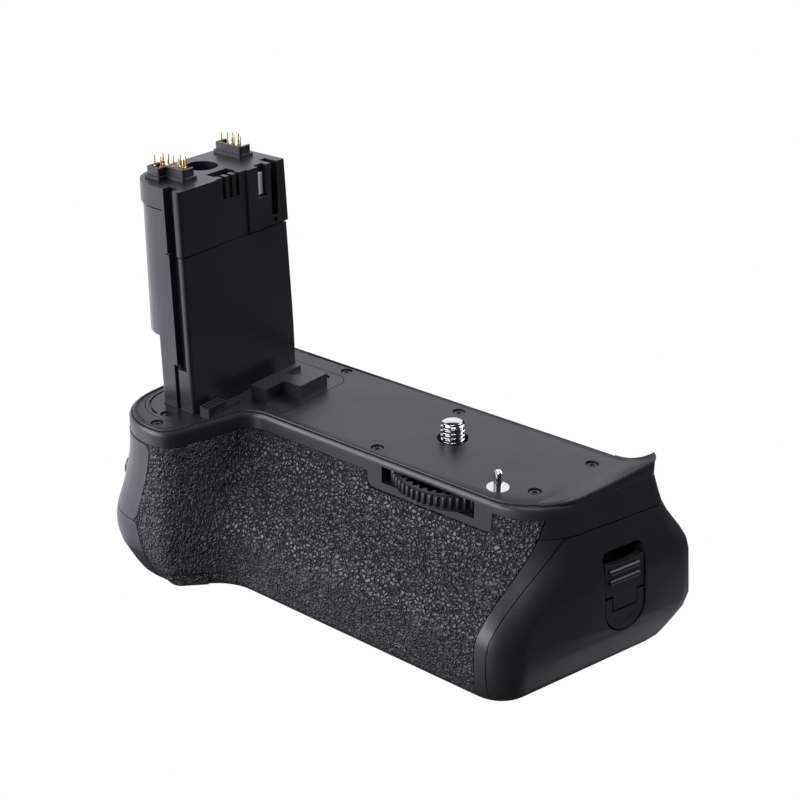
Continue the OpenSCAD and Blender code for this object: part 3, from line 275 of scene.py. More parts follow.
# finishes, one dictionary of settings for each slot of the record
def newFinish(name, tree, values, colours, bumpStrength, bumpDepth, mask="Tint", metallic=0.0):
    finish = bpy.data.materials.new(name)
    finish.use_nodes = True
    graph = finish.node_tree
    shader = graph.nodes["Principled BSDF"]
    shader.inputs["Metallic"].default_value = metallic
    group = graph.nodes.new("ShaderNodeGroup")
    group.node_tree = tree
    for label, value in values.items():
        group.inputs[label].default_value = value
    mix = graph.nodes.new("ShaderNodeMix")
    mix.data_type = "RGBA"
    ends = [socket for socket in mix.inputs if socket.type == "RGBA"]
    for socket, colour in zip(ends, colours):
        socket.default_value = (*colour, 1.0)
    graph.links.new(group.outputs[mask], mix.inputs[0])
    mixed = next(socket for socket in mix.outputs if socket.type == "RGBA")
    graph.links.new(mixed, shader.inputs["Base Color"])
    graph.links.new(group.outputs["Roughness"], shader.inputs["Roughness"])
    bump = graph.nodes.new("ShaderNodeBump")
    bump.inputs["Strength"].default_value = bumpStrength
    bump.inputs["Distance"].default_value = bumpDepth
    graph.links.new(group.outputs["Height"], bump.inputs["Height"])
    graph.links.new(bump.outputs["Normal"], shader.inputs["Normal"])
    return finish


plasticLooks = {
    "shell_plastic": {
        "dark": (0.009, 0.009, 0.010), "pale": (0.014, 0.014, 0.015),
        "grain": 0.00030, "rough": 0.40, "spread": 0.03, "bump": 0.22},
    "trim_plastic": {
        "dark": (0.008, 0.008, 0.009), "pale": (0.013, 0.013, 0.014),
        "grain": 0.00024, "rough": 0.38, "spread": 0.04, "bump": 0.16},
    "tower_plastic": {
        "dark": (0.008, 0.008, 0.009), "pale": (0.012, 0.012, 0.014),
        "grain": 0.00020, "rough": 0.36, "spread": 0.04, "bump": 0.12},
    "inner_plastic": {
        "dark": (0.020, 0.020, 0.022), "pale": (0.030, 0.030, 0.032),
        "grain": 0.00040, "rough": 0.50, "spread": 0.06, "bump": 0.30},
    "circuit_board": {
        "dark": (0.012, 0.070, 0.035), "pale": (0.020, 0.100, 0.050),
        "grain": 0.00060, "rough": 0.35, "spread": 0.08, "bump": 0.30},
    "flat_cable": {
        "dark": (0.220, 0.110, 0.030), "pale": (0.300, 0.160, 0.050),
        "grain": 0.00080, "rough": 0.35, "spread": 0.06, "bump": 0.15},
}
plasticPatch = 0.014
plasticDepth = 0.00005
metalLooks = {
    "bright_metal": {
        "dark": (0.50, 0.50, 0.51), "pale": (0.64, 0.64, 0.65),
        "streak": 0.0006, "rough": 0.13, "spread": 0.04, "bump": 0.04},
    "contact_gold": {
        "dark": (0.58, 0.38, 0.17), "pale": (0.76, 0.55, 0.28),
        "streak": 0.0004, "rough": 0.26, "spread": 0.07, "bump": 0.08},
    "contact_silver": {
        "dark": (0.82, 0.82, 0.83), "pale": (0.93, 0.93, 0.94),
        "streak": 0.0005, "rough": 0.42, "spread": 0.05, "bump": 0.04, "metallic": 0.25},
    "black_screws": {
        "dark": (0.030, 0.030, 0.032), "pale": (0.060, 0.060, 0.063),
        "streak": 0.0004, "rough": 0.32, "spread": 0.08, "bump": 0.10},
    "gear_brass": {
        "dark": (0.55, 0.38, 0.12), "pale": (0.72, 0.52, 0.20),
        "streak": 0.0004, "rough": 0.30, "spread": 0.08, "bump": 0.10},
}
metalDepth = 0.00002
# rubber colours: the pebble tops, and a painted shade that darkens the grooves between them
rubberLook = {
    "top": (0.022, 0.022, 0.024), "crease": (0.003, 0.003, 0.003),
    "cell": 0.00107, "groove": 0.22, "warp": 1.3, "rough": 0.32, "bump": 1.0, "depth": 0.00068,
}
finishes = {}
for slotName, look in plasticLooks.items():
    values = {"Grain Size": look["grain"], "Patch Size": plasticPatch,
              "Base Roughness": look["rough"], "Roughness Spread": look["spread"]}
    finishes[slotName] = newFinish(
        slotName, grainTree, values, (look["dark"], look["pale"]), look["bump"], plasticDepth)
for slotName, look in metalLooks.items():
    values = {"Streak Size": look["streak"], "Base Roughness": look["rough"],
              "Roughness Spread": look["spread"]}
    finishes[slotName] = newFinish(
        slotName, machinedTree, values, (look["dark"], look["pale"]), look["bump"], metalDepth,
        metallic=look.get("metallic", 1.0))
# the groove mask mixes the painted crease shade into the rubber's colour
finishes["grip_rubber"] = newFinish(
    "grip_rubber", pebbleTree,
    {"Cell Size": rubberLook["cell"], "Groove Width": rubberLook["groove"],
     "Warp": rubberLook["warp"], "Base Roughness": rubberLook["rough"]},
    (rubberLook["top"], rubberLook["crease"]), rubberLook["bump"], rubberLook["depth"], mask="Groove")
for node, solid in cadNodes.items():
    solid.data.materials.clear()
    solid.data.materials.append(finishes[nodeSlot[node]])
print("finishes made:", len(finishes))


# pieces
def newPiece(name, vertices, faces, smoothAngle=None):
    mesh = bpy.data.meshes.new(name)
    mesh.from_pydata([tuple(point) for point in vertices], [], faces)
    if smoothAngle is not None:
        mesh.shade_smooth()
        mesh.set_sharp_from_angle(angle=math.radians(smoothAngle))
    return linked(name, mesh)


def linked(name, mesh):
    made = bpy.data.objects.new(name, mesh)
    bpy.context.scene.collection.objects.link(made)
    return made


def enter(piece, slotName, body, *standsFor):
    piece.data.materials.clear()
    piece.data.materials.append(finishes[slotName])
    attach(piece, body)
    if standsFor:
        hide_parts(*standsFor)


def settle(piece):
    graph = bpy.context.evaluated_depsgraph_get()
    mesh = bpy.data.meshes.new_from_object(piece.evaluated_get(graph), depsgraph=graph)
    piece.modifiers.clear()
    piece.data = mesh


def camelName(node, ending):
    words = node.split("_")
    return words[0] + "".join(word.capitalize() for word in words[1:]) + ending


# the frame's triangles, welded, and where asked joined into whole flat faces
frameWeld = {"distance": 0.003, "flatAngle": 0.05}


def mergedFrame(node, flatten=False):
    work = bmesh.new()
    work.from_mesh(cadNodes[node].data)
    bmesh.ops.remove_doubles(work, verts=work.verts, dist=frameWeld["distance"] * mm)
    if flatten:
        flat = math.radians(frameWeld["flatAngle"])
        bmesh.ops.dissolve_limit(work, angle_limit=flat, verts=work.verts, edges=work.edges)
    return work


def surfaceTree(work):
    tree = BVHTree.FromBMesh(work)
    work.free()
    return tree


# surfaces of the frame, joined up so that they shade smoothly, some with broken edges
bevelForm = {"segments": 2, "fromAngle": 38.0}
smoothSurfaces = {
    "body_shell": {},
    "top_cover": {"highest": 0.0},  # the lip is made again below
    "magazine_cap": {},
    "control_panel": {},
    "rubber_grip": {"smoothAngle": 40},
    "rear_thumb_pad": {"smoothAngle": 40},
    "tower_base_plate": {"edgeBreak": 0.2},
    "tower_column": {"edgeBreak": 0.2},
    "tower_head": {"edgeBreak": 0.2},
    "connector_front": {"edgeBreak": 0.3},
    "connector_rear": {"edgeBreak": 0.3},
    "release_knob": {"edgeBreak": 0.12},
    "release_tab": {"edgeBreak": 0.15},
    "power_switch": {"edgeBreak": 0.2},
    "side_contact": {"edgeBreak": 0.12},
    "alignment_pin": {"edgeBreak": 0.1},
    "battery_terminals": {"edgeBreak": 0.08},
    "shutter_button": {"edgeBreak": 0.15},
    "af_start_button": {"edgeBreak": 0.15},
    "ae_lock_button": {"edgeBreak": 0.15},
    "focus_point_button": {"edgeBreak": 0.15},
}


def smoothCopy(node, smoothAngle=30.0, edgeBreak=0.0, highest=None):
    work = mergedFrame(node, flatten=True)
    for vertex in work.verts if highest is not None else ():
        vertex.co.z = min(vertex.co.z, highest * mm)
    work.verts.index_update()
    vertices = [vertex.co.copy() for vertex in work.verts]
    faces = [[vertex.index for vertex in face.verts] for face in work.faces]
    work.free()
    piece = newPiece(camelName(node, "Surface"), vertices, faces, smoothAngle)
    if edgeBreak:
        bevel = piece.modifiers.new("edgeBreak", "BEVEL")
        bevel.width = edgeBreak * mm
        bevel.segments = bevelForm["segments"]
        bevel.limit_method = "ANGLE"
        bevel.angle_limit = math.radians(bevelForm["fromAngle"])
        piece.modifiers.new("flatFaces", "WEIGHTED_NORMAL").keep_sharp = True
    enter(piece, nodeSlot[node], nodeBody[node], node)


for node, settings in smoothSurfaces.items():
    smoothCopy(node, **settings)
print("surfaces joined:", len(smoothSurfaces))


# turned forms: a profile of radius and height, bottom to top, in millimetres
def lathe(profile, segments, closed=False):
    vertices, faces, rings = [], [], []
    for radius, height in profile:
        count = segments if radius else 1
        rings.append([len(vertices) + i for i in range(count)])
        for i in range(count):
            turn = 2 * math.pi * i / segments
            vertices.append(Vector((radius * math.cos(turn), radius * math.sin(turn), height)) * mm)
    pairs = list(zip(rings, rings[1:])) + ([(rings[-1], rings[0])] if closed else [])
    for low, high in pairs:
        for i in range(segments):
            j = (i + 1) % segments
            if len(low) == 1:
                faces.append((low[0], high[j], high[i]))
            elif len(high) == 1:
                faces.append((low[i], low[j], high[0]))
            else:
                faces.append((low[i], low[j], high[j], high[i]))
    return vertices, faces


# faces of a closed form that is a stack of loops, each of the same count of points
def stackFaces(count, loops):
    faces = [tuple(reversed(range(count))), tuple(range((loops - 1) * count, loops * count))]
    for low in range(0, (loops - 1) * count, count):
        for i in range(count):
            j = (i + 1) % count
            faces.append((low + i, low + j, low + count + j, low + count + i))
    return faces


# geometry trees for what repeats
def geometryTree(name, inputs):
    tree = bpy.data.node_groups.new(name, "GeometryNodeTree")
    tree.interface.new_socket("Geometry", in_out="INPUT", socket_type="NodeSocketGeometry")
    for label, (kind, value) in inputs.items():
        socket = tree.interface.new_socket(label, in_out="INPUT", socket_type="NodeSocket" + kind)
        if value is not None:
            socket.default_value = value
    tree.interface.new_socket("Geometry", in_out="OUTPUT", socket_type="NodeSocketGeometry")
    return tree, tree.nodes.new("NodeGroupInput"), tree.nodes.new("NodeGroupOutput")


def addTree(piece, tree, **values):
    modifier = piece.modifiers.new(tree.name, "NODES")
    modifier.node_group = tree
    names = {item.name: item.identifier for item in tree.interface.items_tree if item.in_out == "INPUT"}
    for label, value in values.items():
        modifier[names[label]] = value


def ending(tree, geometry, finish, result):
    real = tree.nodes.new("GeometryNodeRealizeInstances")
    coat = tree.nodes.new("GeometryNodeSetMaterial")
    tree.links.new(geometry, real.inputs[0])
    tree.links.new(real.outputs[0], coat.inputs["Geometry"])
    tree.links.new(finish, coat.inputs["Material"])
    tree.links.new(coat.outputs[0], result.inputs[0])


def partInstance(tree, part):
    info = tree.nodes.new("GeometryNodeObjectInfo")
    info.inputs["As Instance"].default_value = True
    tree.links.new(part, info.inputs["Object"])
    return info.outputs["Geometry"]


def aboutZ(tree, angle):
    turn = tree.nodes.new("ShaderNodeCombineXYZ")
    tree.links.new(angle, turn.inputs[2])
    return turn.outputs[0]


def rotation(tree, euler):
    turn = tree.nodes.new("FunctionNodeEulerToRotation")
    tree.links.new(euler, turn.inputs[0])
    return turn.outputs[0]


def partOnPointsTree():
    tree, given, result = geometryTree("partOnPoints", {
        "Part": ("Object", None), "Turn": ("Float", 0.0), "Tilt": ("Vector", (0.0, 0.0, 0.0)),
        "Shortest": ("Float", 1.0), "Seed": ("Int", 1), "Finish": ("Material", None)})
    place = tree.nodes.new("GeometryNodeInstanceOnPoints")
    tree.links.new(given.outputs["Geometry"], place.inputs["Points"])
    tree.links.new(partInstance(tree, given.outputs["Part"]), place.inputs["Instance"])
    chance = tree.nodes.new("FunctionNodeRandomValue")
    chance.data_type = "FLOAT"
    tree.links.new(given.outputs["Turn"], chance.inputs[3])
    tree.links.new(given.outputs["Seed"], chance.inputs["Seed"])
    euler = vectorCalc(tree, "ADD", aboutZ(tree, chance.outputs[1]), given.outputs["Tilt"])
    tree.links.new(rotation(tree, euler), place.inputs["Rotation"])
    tall = tree.nodes.new("FunctionNodeRandomValue")
    tall.data_type = "FLOAT"
    tree.links.new(given.outputs["Shortest"], tall.inputs[2])
    tall.inputs[3].default_value = 1.0
    tree.links.new(given.outputs["Seed"], tall.inputs["Seed"])
    size = tree.nodes.new("ShaderNodeCombineXYZ")
    size.inputs[0].default_value = 1.0
    size.inputs[1].default_value = 1.0
    tree.links.new(tall.outputs[1], size.inputs[2])
    tree.links.new(size.outputs[0], place.inputs["Scale"])
    ending(tree, place.outputs[0], given.outputs["Finish"], result)
    return tree


def partRingTree():
    tree, given, result = geometryTree("partRing", {
        "Part": ("Object", None), "Count": ("Int", 12), "Radius": ("Float", 0.01),
        "Start": ("Float", 0.0), "Finish": ("Material", None)})
    circle = tree.nodes.new("GeometryNodeMeshCircle")
    tree.links.new(given.outputs["Count"], circle.inputs["Vertices"])
    tree.links.new(given.outputs["Radius"], circle.inputs["Radius"])
    number = tree.nodes.new("GeometryNodeInputIndex").outputs[0]
    turn = calc(tree, "MULTIPLY", number, calc(tree, "DIVIDE", 2 * math.pi, given.outputs["Count"]))
    place = tree.nodes.new("GeometryNodeInstanceOnPoints")
    tree.links.new(circle.outputs[0], place.inputs["Points"])
    tree.links.new(partInstance(tree, given.outputs["Part"]), place.inputs["Instance"])
    tree.links.new(rotation(tree, aboutZ(tree, turn)), place.inputs["Rotation"])
    whole = tree.nodes.new("GeometryNodeTransform")
    tree.links.new(place.outputs[0], whole.inputs["Geometry"])
    tree.links.new(rotation(tree, aboutZ(tree, given.outputs["Start"])), whole.inputs["Rotation"])
    join = tree.nodes.new("GeometryNodeJoinGeometry")
    tree.links.new(whole.outputs[0], join.inputs[0])
    tree.links.new(given.outputs["Geometry"], join.inputs[0])
    ending(tree, join.outputs[0], given.outputs["Finish"], result)
    return tree


threadShape = {"crest": 0.12, "root": 0.82, "fade": 0.55}  # shares of half a pitch, and of a pitch


def threadTree(shape):
    tree, given, result = geometryTree("threadCut", {
        "Pitch": ("Float", 0.001), "Depth": ("Float", 0.0005), "Low": ("Float", 0.0),
        "High": ("Float", 0.005), "Finish": ("Material", None)})
    pitch, low, high = (given.outputs[label] for label in ("Pitch", "Low", "High"))
    place = tree.nodes.new("GeometryNodeInputPosition").outputs[0]
    parts = tree.nodes.new("ShaderNodeSeparateXYZ")
    tree.links.new(place, parts.inputs[0])
    x, y, height = parts.outputs
    turn = calc(tree, "DIVIDE", calc(tree, "ARCTAN2", y, x), 2 * math.pi)
    phase = calc(tree, "FRACT", calc(tree, "SUBTRACT", calc(tree, "DIVIDE", height, pitch), turn))
    wave = calc(tree, "MULTIPLY", calc(tree, "PINGPONG", phase, 0.5), 2.0)
    cut = spread(tree, wave, shape["crest"], shape["root"], 0.0, 1.0, True)
    fade = calc(tree, "MULTIPLY", pitch, shape["fade"])
    rise = spread(tree, height, low, calc(tree, "ADD", low, fade), 0.0, 1.0, True)
    fall = spread(tree, height, calc(tree, "SUBTRACT", high, fade), high, 1.0, 0.0, True)
    depth = calc(tree, "MULTIPLY", cut, given.outputs["Depth"])
    amount = calc(tree, "MULTIPLY", depth, calc(tree, "MULTIPLY", rise, fall))
    outward = vectorCalc(tree, "NORMALIZE", vectorCalc(tree, "MULTIPLY", place, (1.0, 1.0, 0.0)))
    inward = vectorCalc(tree, "SCALE", outward, scale=calc(tree, "MULTIPLY", amount, -1.0))
    move = tree.nodes.new("GeometryNodeSetPosition")
    tree.links.new(given.outputs["Geometry"], move.inputs["Geometry"])
    tree.links.new(inward, move.inputs["Offset"])
    ending(tree, move.outputs[0], given.outputs["Finish"], result)
    return tree


onPoints, onRing, onThread = partOnPointsTree(), partRingTree(), threadTree(threadShape)


# boxes of a node's separate solids, and one pattern set on each of them
def islands(node):
    work = mergedFrame(node)
    boxes, seen = [], set()
    for first in work.verts:
        if first in seen:
            continue
        group, waiting = [], [first]
        seen.add(first)
        while waiting:
            vertex = waiting.pop()
            group.append(vertex.co.copy())
            for edge in vertex.link_edges:
                other = edge.other_vert(vertex)
                if other not in seen:
                    seen.add(other)
                    waiting.append(other)
        boxes.append([[pick(point[axis] for point in group) for axis in range(3)] for pick in (min, max)])
    work.free()
    return boxes


def setOnIslands(node, nameEnd, boxes, atTop, pattern, **values):
    points = []
    for low, high in boxes:
        points.append(((low[0] + high[0]) / 2, (low[1] + high[1]) / 2, high[2] if atTop else low[2]))
    piece = newPiece(camelName(node, nameEnd), points, [])
    addTree(piece, onPoints, Part=pattern, Finish=finishes[nodeSlot[node]], **values)
    settle(piece)
    bpy.data.objects.remove(pattern)
    enter(piece, nodeSlot[node], nodeBody[node], node)


# cross-slot screws
screwLook = {
    "rim": 0.16, "rimRound": 0.3, "crown": 0.12, "crownAt": 0.5, "crownDrop": 0.3, "headHeight": 0.7,
    "shankShare": 0.5, "slotLength": 1.9, "slotWidth": 0.42, "slotDepth": 0.42, "slotFoot": 0.55,
    "segments": 40, "smoothAngle": 35, "seed": 7,
    "nodes": {"cover_screws": "up", "tower_screws": "up", "bottom_screws": "down"},
}


def crossScrew(headRadius, shankLength, look):
    top, rim, neck = -look["crown"], look["rim"], -look["headHeight"]
    shankRadius, soft = headRadius * look["shankShare"], look["rimRound"] * rim
    head = [(0, neck - shankLength), (shankRadius, neck - shankLength), (shankRadius, neck),
            (headRadius, neck), (headRadius, top - rim), (headRadius - soft, top - soft),
            (headRadius - rim, top), (headRadius * look["crownAt"], top * look["crownDrop"]), (0, 0)]
    screw = newPiece("screwPattern", *lathe(head, look["segments"]), look["smoothAngle"])
    length, width, depth = (look[key] * mm / 2 for key in ("slotLength", "slotWidth", "slotDepth"))
    for turned in (False, True):
        corners = []
        for z, share in ((-2 * depth, look["slotFoot"]), (depth, 1.0)):
            for sx, sy in ((-1, -1), (1, -1), (1, 1), (-1, 1)):
                x, y = sx * length * share, sy * width
                corners.append((-y, x, z) if turned else (x, y, z))
        cutter = newPiece("slotPattern", corners, stackFaces(4, 2))
        cut = screw.modifiers.new("slot", "BOOLEAN")
        cut.object = cutter
        cut.operation = "DIFFERENCE"
        settle(screw)
        bpy.data.objects.remove(cutter)
    return screw


def placeScrews(node, facing, look):
    boxes = islands(node)
    low, high = boxes[0]
    length = (high[2] - low[2]) / mm - look["headHeight"]
    pattern = crossScrew((high[0] - low[0]) / 2 / mm, length, look)
    tilt = 0.0 if facing == "up" else math.pi
    setOnIslands(node, "Heads", boxes, facing == "up", pattern,
                 Turn=math.pi, Tilt=(tilt, 0.0, 0.0), Seed=look["seed"])


for node, facing in screwLook["nodes"].items():
    placeScrews(node, facing, screwLook)
print("screws placed")


# contact pins: a barrel, a collar and a plunger that stand up unevenly
pinLook = {
    "barrel": 0.35, "barrelShare": 0.52, "collar": 0.30, "collarRise": 0.1, "plunger": 0.22,
    "tipFrom": 0.25, "tipShare": 0.7, "tipRound": 0.07, "shortest": 0.86,
    "segments": 20, "smoothAngle": 40, "seeds": {"contact_pins_front": 3, "contact_pins_rear": 5},
}


def placePins(node, seed, look):
    boxes = islands(node)
    low, high = boxes[0]
    height = (high[2] - low[2]) / mm
    step = height * look["barrelShare"]
    barrel, plunger = look["barrel"], look["plunger"]
    profile = [(0, 0), (barrel, 0), (barrel, step - look["collarRise"]), (look["collar"], step),
               (plunger, step), (plunger, height - look["tipFrom"]),
               (plunger * look["tipShare"], height - look["tipRound"]), (0, height)]
    pattern = newPiece("pinPattern", *lathe(profile, look["segments"]), look["smoothAngle"])
    setOnIslands(node, "Plungers", boxes, False, pattern, Shortest=look["shortest"], Seed=seed)


for node, seed in pinLook["seeds"].items():
    placePins(node, seed, pinLook)
print("pins placed")


# camera screw: a shaft, a neck, the thread and a bevelled, slightly domed end
screwForm = {
    "shaft": 2.2, "shaftTop": -6.2, "neck": 3.0, "neckDrop": 0.3, "leadIn": (0.1, 0.15),
    "pitch": 1.27, "depth": 0.66, "rows": 130, "threadLow": -0.6, "threadEnd": 0.3,
    "bevel": 1.0, "bevelTurns": (15, 30, 45, 60, 75), "dome": 0.35, "domeShares": (0.8, 0.6, 0.4, 0.2),
    "segments": 72, "smoothAngle": 50,
}


def buildCameraScrew(form):
    low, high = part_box("attachment_screw")
    top, bottom = high[2] / mm, low[2] / mm
    radius = (high[0] - low[0]) / 2 / mm
    rows, bevel, start = form["rows"], form["bevel"], form["threadLow"]
    shoulder = top - form["dome"] - bevel
    profile = [(0, bottom), (form["shaft"], bottom), (form["shaft"], form["shaftTop"]),
               (form["neck"], form["shaftTop"]), (form["neck"], start - form["neckDrop"]),
               (radius - form["leadIn"][0], start - form["leadIn"][1]), (radius, start)]
    profile += [(radius, start + (shoulder - start) * i / rows) for i in range(1, rows + 1)]
    for turn in map(math.radians, form["bevelTurns"]):
        profile.append((radius - bevel * (1 - math.cos(turn)), shoulder + bevel * math.sin(turn)))
    flat = profile[-1][0]
    profile += [(flat * share, top - form["dome"] * share * share) for share in form["domeShares"]]
    profile.append((0, top))
    piece = newPiece("cameraScrewThread", *lathe(profile, form["segments"]), form["smoothAngle"])
    addTree(piece, onThread, Pitch=form["pitch"] * mm, Depth=form["depth"] * mm, Low=start * mm,
            High=(top - form["threadEnd"]) * mm, Finish=finishes["bright_metal"])
    settle(piece)
    enter(piece, nodeSlot["attachment_screw"], nodeBody["attachment_screw"], "attachment_screw")


buildCameraScrew(screwForm)
print("camera screw threaded")


# wheels: a turned rim with ribs, and the thumbwheel's inner teeth
def prism(half, low, high, taper):
    outline = [(x, -y) for x, y in half] + list(reversed(half))
    rows = []
    for height, inset in ((low, taper), (low + taper, 0.0), (high - taper, 0.0), (high, taper)):
        rows += [Vector((x - inset if x > 0 else x, y * (1 - inset), height)) * mm for x, y in outline]
    return rows, stackFaces(len(outline), 4)


thumbwheelForm = {
    "rim": 16.3, "bore": 15.75, "flange": 16.2, "low": -6.3, "top": -2.0,
    "segments": 160, "smoothAngle": 30,
    "ribs": 60, "ribLow": -5.4, "ribTop": -2.2, "ribTaper": 0.18, "ribSmooth": 50,
    "ribHalf": ((-0.35, 0.62), (0.3, 0.52), (0.58, 0.36), (0.69, 0.16)),
    "teeth": 40, "toothRing": 15.9, "toothTaper": 0.05, "pinionAt": 134.8,
    "toothHalf": ((-1.33, 0.34), (-0.1, 0.86)),
}


def buildThumbwheel(form):
    centre = joints["thumbwheel_spin"]["pos_m"]
    finish = finishes[nodeSlot["thumbwheel"]]
    rim, bore, flange, low, top = (form[key] for key in ("rim", "bore", "flange", "low", "top"))
    ribLow, ribTop, smoothAngle = form["ribLow"], form["ribTop"], form["smoothAngle"]
    profile = [(bore, low), (flange, low), (flange, ribLow), (rim, ribLow),
               (rim, ribTop), (flange, ribTop), (flange, top), (bore, top)]
    wheel = newPiece("thumbwheelKnurl", *lathe(profile, form["segments"], True), smoothAngle)
    ribShape = prism(form["ribHalf"], ribLow, ribTop, form["ribTaper"])
    toothShape = prism(form["toothHalf"], low, top, form["toothTaper"])
    rib = newPiece("ribPattern", *ribShape, form["ribSmooth"])
    tooth = newPiece("toothPattern", *toothShape, smoothAngle)
    halfPitch = 180 / form["teeth"]  # so that a gap faces the pinion
    addTree(wheel, onRing, Part=rib, Count=form["ribs"], Radius=rim * mm, Finish=finish)
    addTree(wheel, onRing, Part=tooth, Count=form["teeth"], Radius=form["toothRing"] * mm,
            Start=math.radians(form["pinionAt"] + halfPitch), Finish=finish)
    settle(wheel)
    for pattern in (rib, tooth):
        bpy.data.objects.remove(pattern)
    wheel.data.transform(Matrix.Translation((centre[0], centre[1], 0.0)))
    enter(wheel, nodeSlot["thumbwheel"], "thumbwheel", "thumbwheel")


dialForm = {
    "rim": 5.95, "bore": 1.25, "half": 2.0, "edge": 0.05, "segments": 90, "smoothAngle": 30,
    "hub": 1.0, "groove": (0.8, 0.5), "grooveDepth": 0.25,  # drawn in from the rim
    "ribs": 30, "ribTaper": 0.2, "ribSmooth": 50,
    "ribHalf": ((-0.3, 0.5), (0.25, 0.4), (0.46, 0.28), (0.53, 0.1)),
}


def buildDial(form):
    half, rim, edge = form["half"], form["rim"], form["half"] - form["edge"]
    groove = form["half"] - form["grooveDepth"]
    side = [(form["bore"], -half), (rim - form["hub"], -half)]
    side += [(rim - inset, -groove) for inset in form["groove"]] + [(rim, -edge)]
    profile = side + [(radius, -height) for radius, height in reversed(side)]
    dial = newPiece("mainDialKnurl", *lathe(profile, form["segments"], True), form["smoothAngle"])
    ribShape = prism(form["ribHalf"], -edge, edge, form["ribTaper"])
    rib = newPiece("ribPattern", *ribShape, form["ribSmooth"])
    addTree(dial, onRing, Part=rib, Count=form["ribs"], Radius=rim * mm,
            Finish=finishes[nodeSlot["main_dial"]])
    settle(dial)
    bpy.data.objects.remove(rib)
    place = Matrix.Translation(joints["main_dial_spin"]["pos_m"])
    dial.data.transform(place @ Matrix.Rotation(math.pi / 2, 4, "X"))
    enter(dial, nodeSlot["main_dial"], "main_dial", "main_dial")


buildThumbwheel(thumbwheelForm)
buildDial(dialForm)
print("wheels knurled")


# edges of the frame that a trim follows, in order from end to end
def chain(edges):
    links = {}
    for edge in edges:
        for vertex in edge.verts:
            links.setdefault(vertex, []).append(edge.other_vert(vertex))
    chains, seen = [], set()
    for first in sorted(links, key=lambda vertex: (len(links[vertex]), vertex.index)):
        line, following = [], first
        while following is not None:
            seen.add(following)
            line.append(following)
            following = next((other for other in links[following] if other not in seen), None)
        if len(line) > 1:
            chains.append(line)
    return chains


def closedSheet(name, loops, smoothAngle):
    vertices = [point for loop in loops for point in loop]
    piece = newPiece(name, vertices, stackFaces(len(loops[0]), len(loops)))
    mesh = piece.data
    work = bmesh.new()
    work.from_mesh(mesh)
    bmesh.ops.recalc_face_normals(work, faces=work.faces)
    work.to_mesh(mesh)
    work.free()
    mesh.shade_smooth()
    mesh.set_sharp_from_angle(angle=math.radians(smoothAngle))
    return piece


# thin bead round the camera plate and along the lip's crest
beadForm = {
    "radius": 0.42, "sunk": 0.14, "sides": 12, "fewest": 8,
    "level": 0.02, "flattest": 0.9999, "besideIt": (0.3, 0.965),  # which edges of the cover it follows
}


def beadTree():
    tree, given, result = geometryTree("edgeBead", {
        "Radius": ("Float", 0.0003), "Sides": ("Int", 12), "Finish": ("Material", None)})
    path = tree.nodes.new("GeometryNodeMeshToCurve")
    tree.links.new(given.outputs["Geometry"], path.inputs[0])
    ring = tree.nodes.new("GeometryNodeCurvePrimitiveCircle")
    tree.links.new(given.outputs["Sides"], ring.inputs["Resolution"])
    tree.links.new(given.outputs["Radius"], ring.inputs["Radius"])
    bead = tree.nodes.new("GeometryNodeCurveToMesh")
    bead.inputs["Fill Caps"].default_value = True
    tree.links.new(path.outputs[0], bead.inputs["Curve"])
    tree.links.new(ring.outputs[0], bead.inputs["Profile Curve"])
    ending(tree, bead.outputs[0], given.outputs["Finish"], result)
    return tree


def buildPlateBead(form, crest):
    work = mergedFrame("top_cover", flatten=True)
    steepest, shallowest = form["besideIt"]
    edges = []
    for edge in work.edges:
        slopes = sorted(face.normal.z for face in edge.link_faces)
        if len(slopes) != 2 or max(abs(vertex.co.z) for vertex in edge.verts) >= form["level"] * mm:
            continue
        if slopes[1] > form["flattest"] and steepest < slopes[0] < shallowest:
            edges.append(edge)
    lines = [[vertex.co.copy() for vertex in line] for line in chain(edges) if len(line) > form["fewest"]]
    work.free()
    points, links = [], []
    for line in lines + [crest]:
        links += [(len(points) + i, len(points) + i + 1) for i in range(len(line) - 1)]
        points += [point - Vector((0.0, 0.0, form["sunk"] * mm)) for point in line]
    mesh = bpy.data.meshes.new("plateBead")
    mesh.from_pydata(points, links, [])
    piece = linked("plateBead", mesh)
    addTree(piece, beadTree(), Radius=form["radius"] * mm, Sides=form["sides"],
            Finish=finishes["shell_plastic"])
    settle(piece)
    piece.data.shade_smooth()
    enter(piece, "shell_plastic", "grip_body")


# lip that sweeps up at the back of the right end
lipForm = {
    "back": 17.6, "front": -15.0, "height": 3.9, "reach": 10.0, "insets": (0.3, 1.6), "fadeFrom": 0.78,
    "crest": 0.22, "foot": -1.4, "rows": 48, "steps": 16, "sweep": 1.7, "hollow": 2.2, "proud": 0.02,
    "leastReach": 3, "crestShape": ((1.0, 0.25), (0.3, -0.1), (0.0, -0.9)),  # in crests: in and up
    "rayFrom": 100.0, "rayLevel": -1.6, "smoothAngle": 40,
}


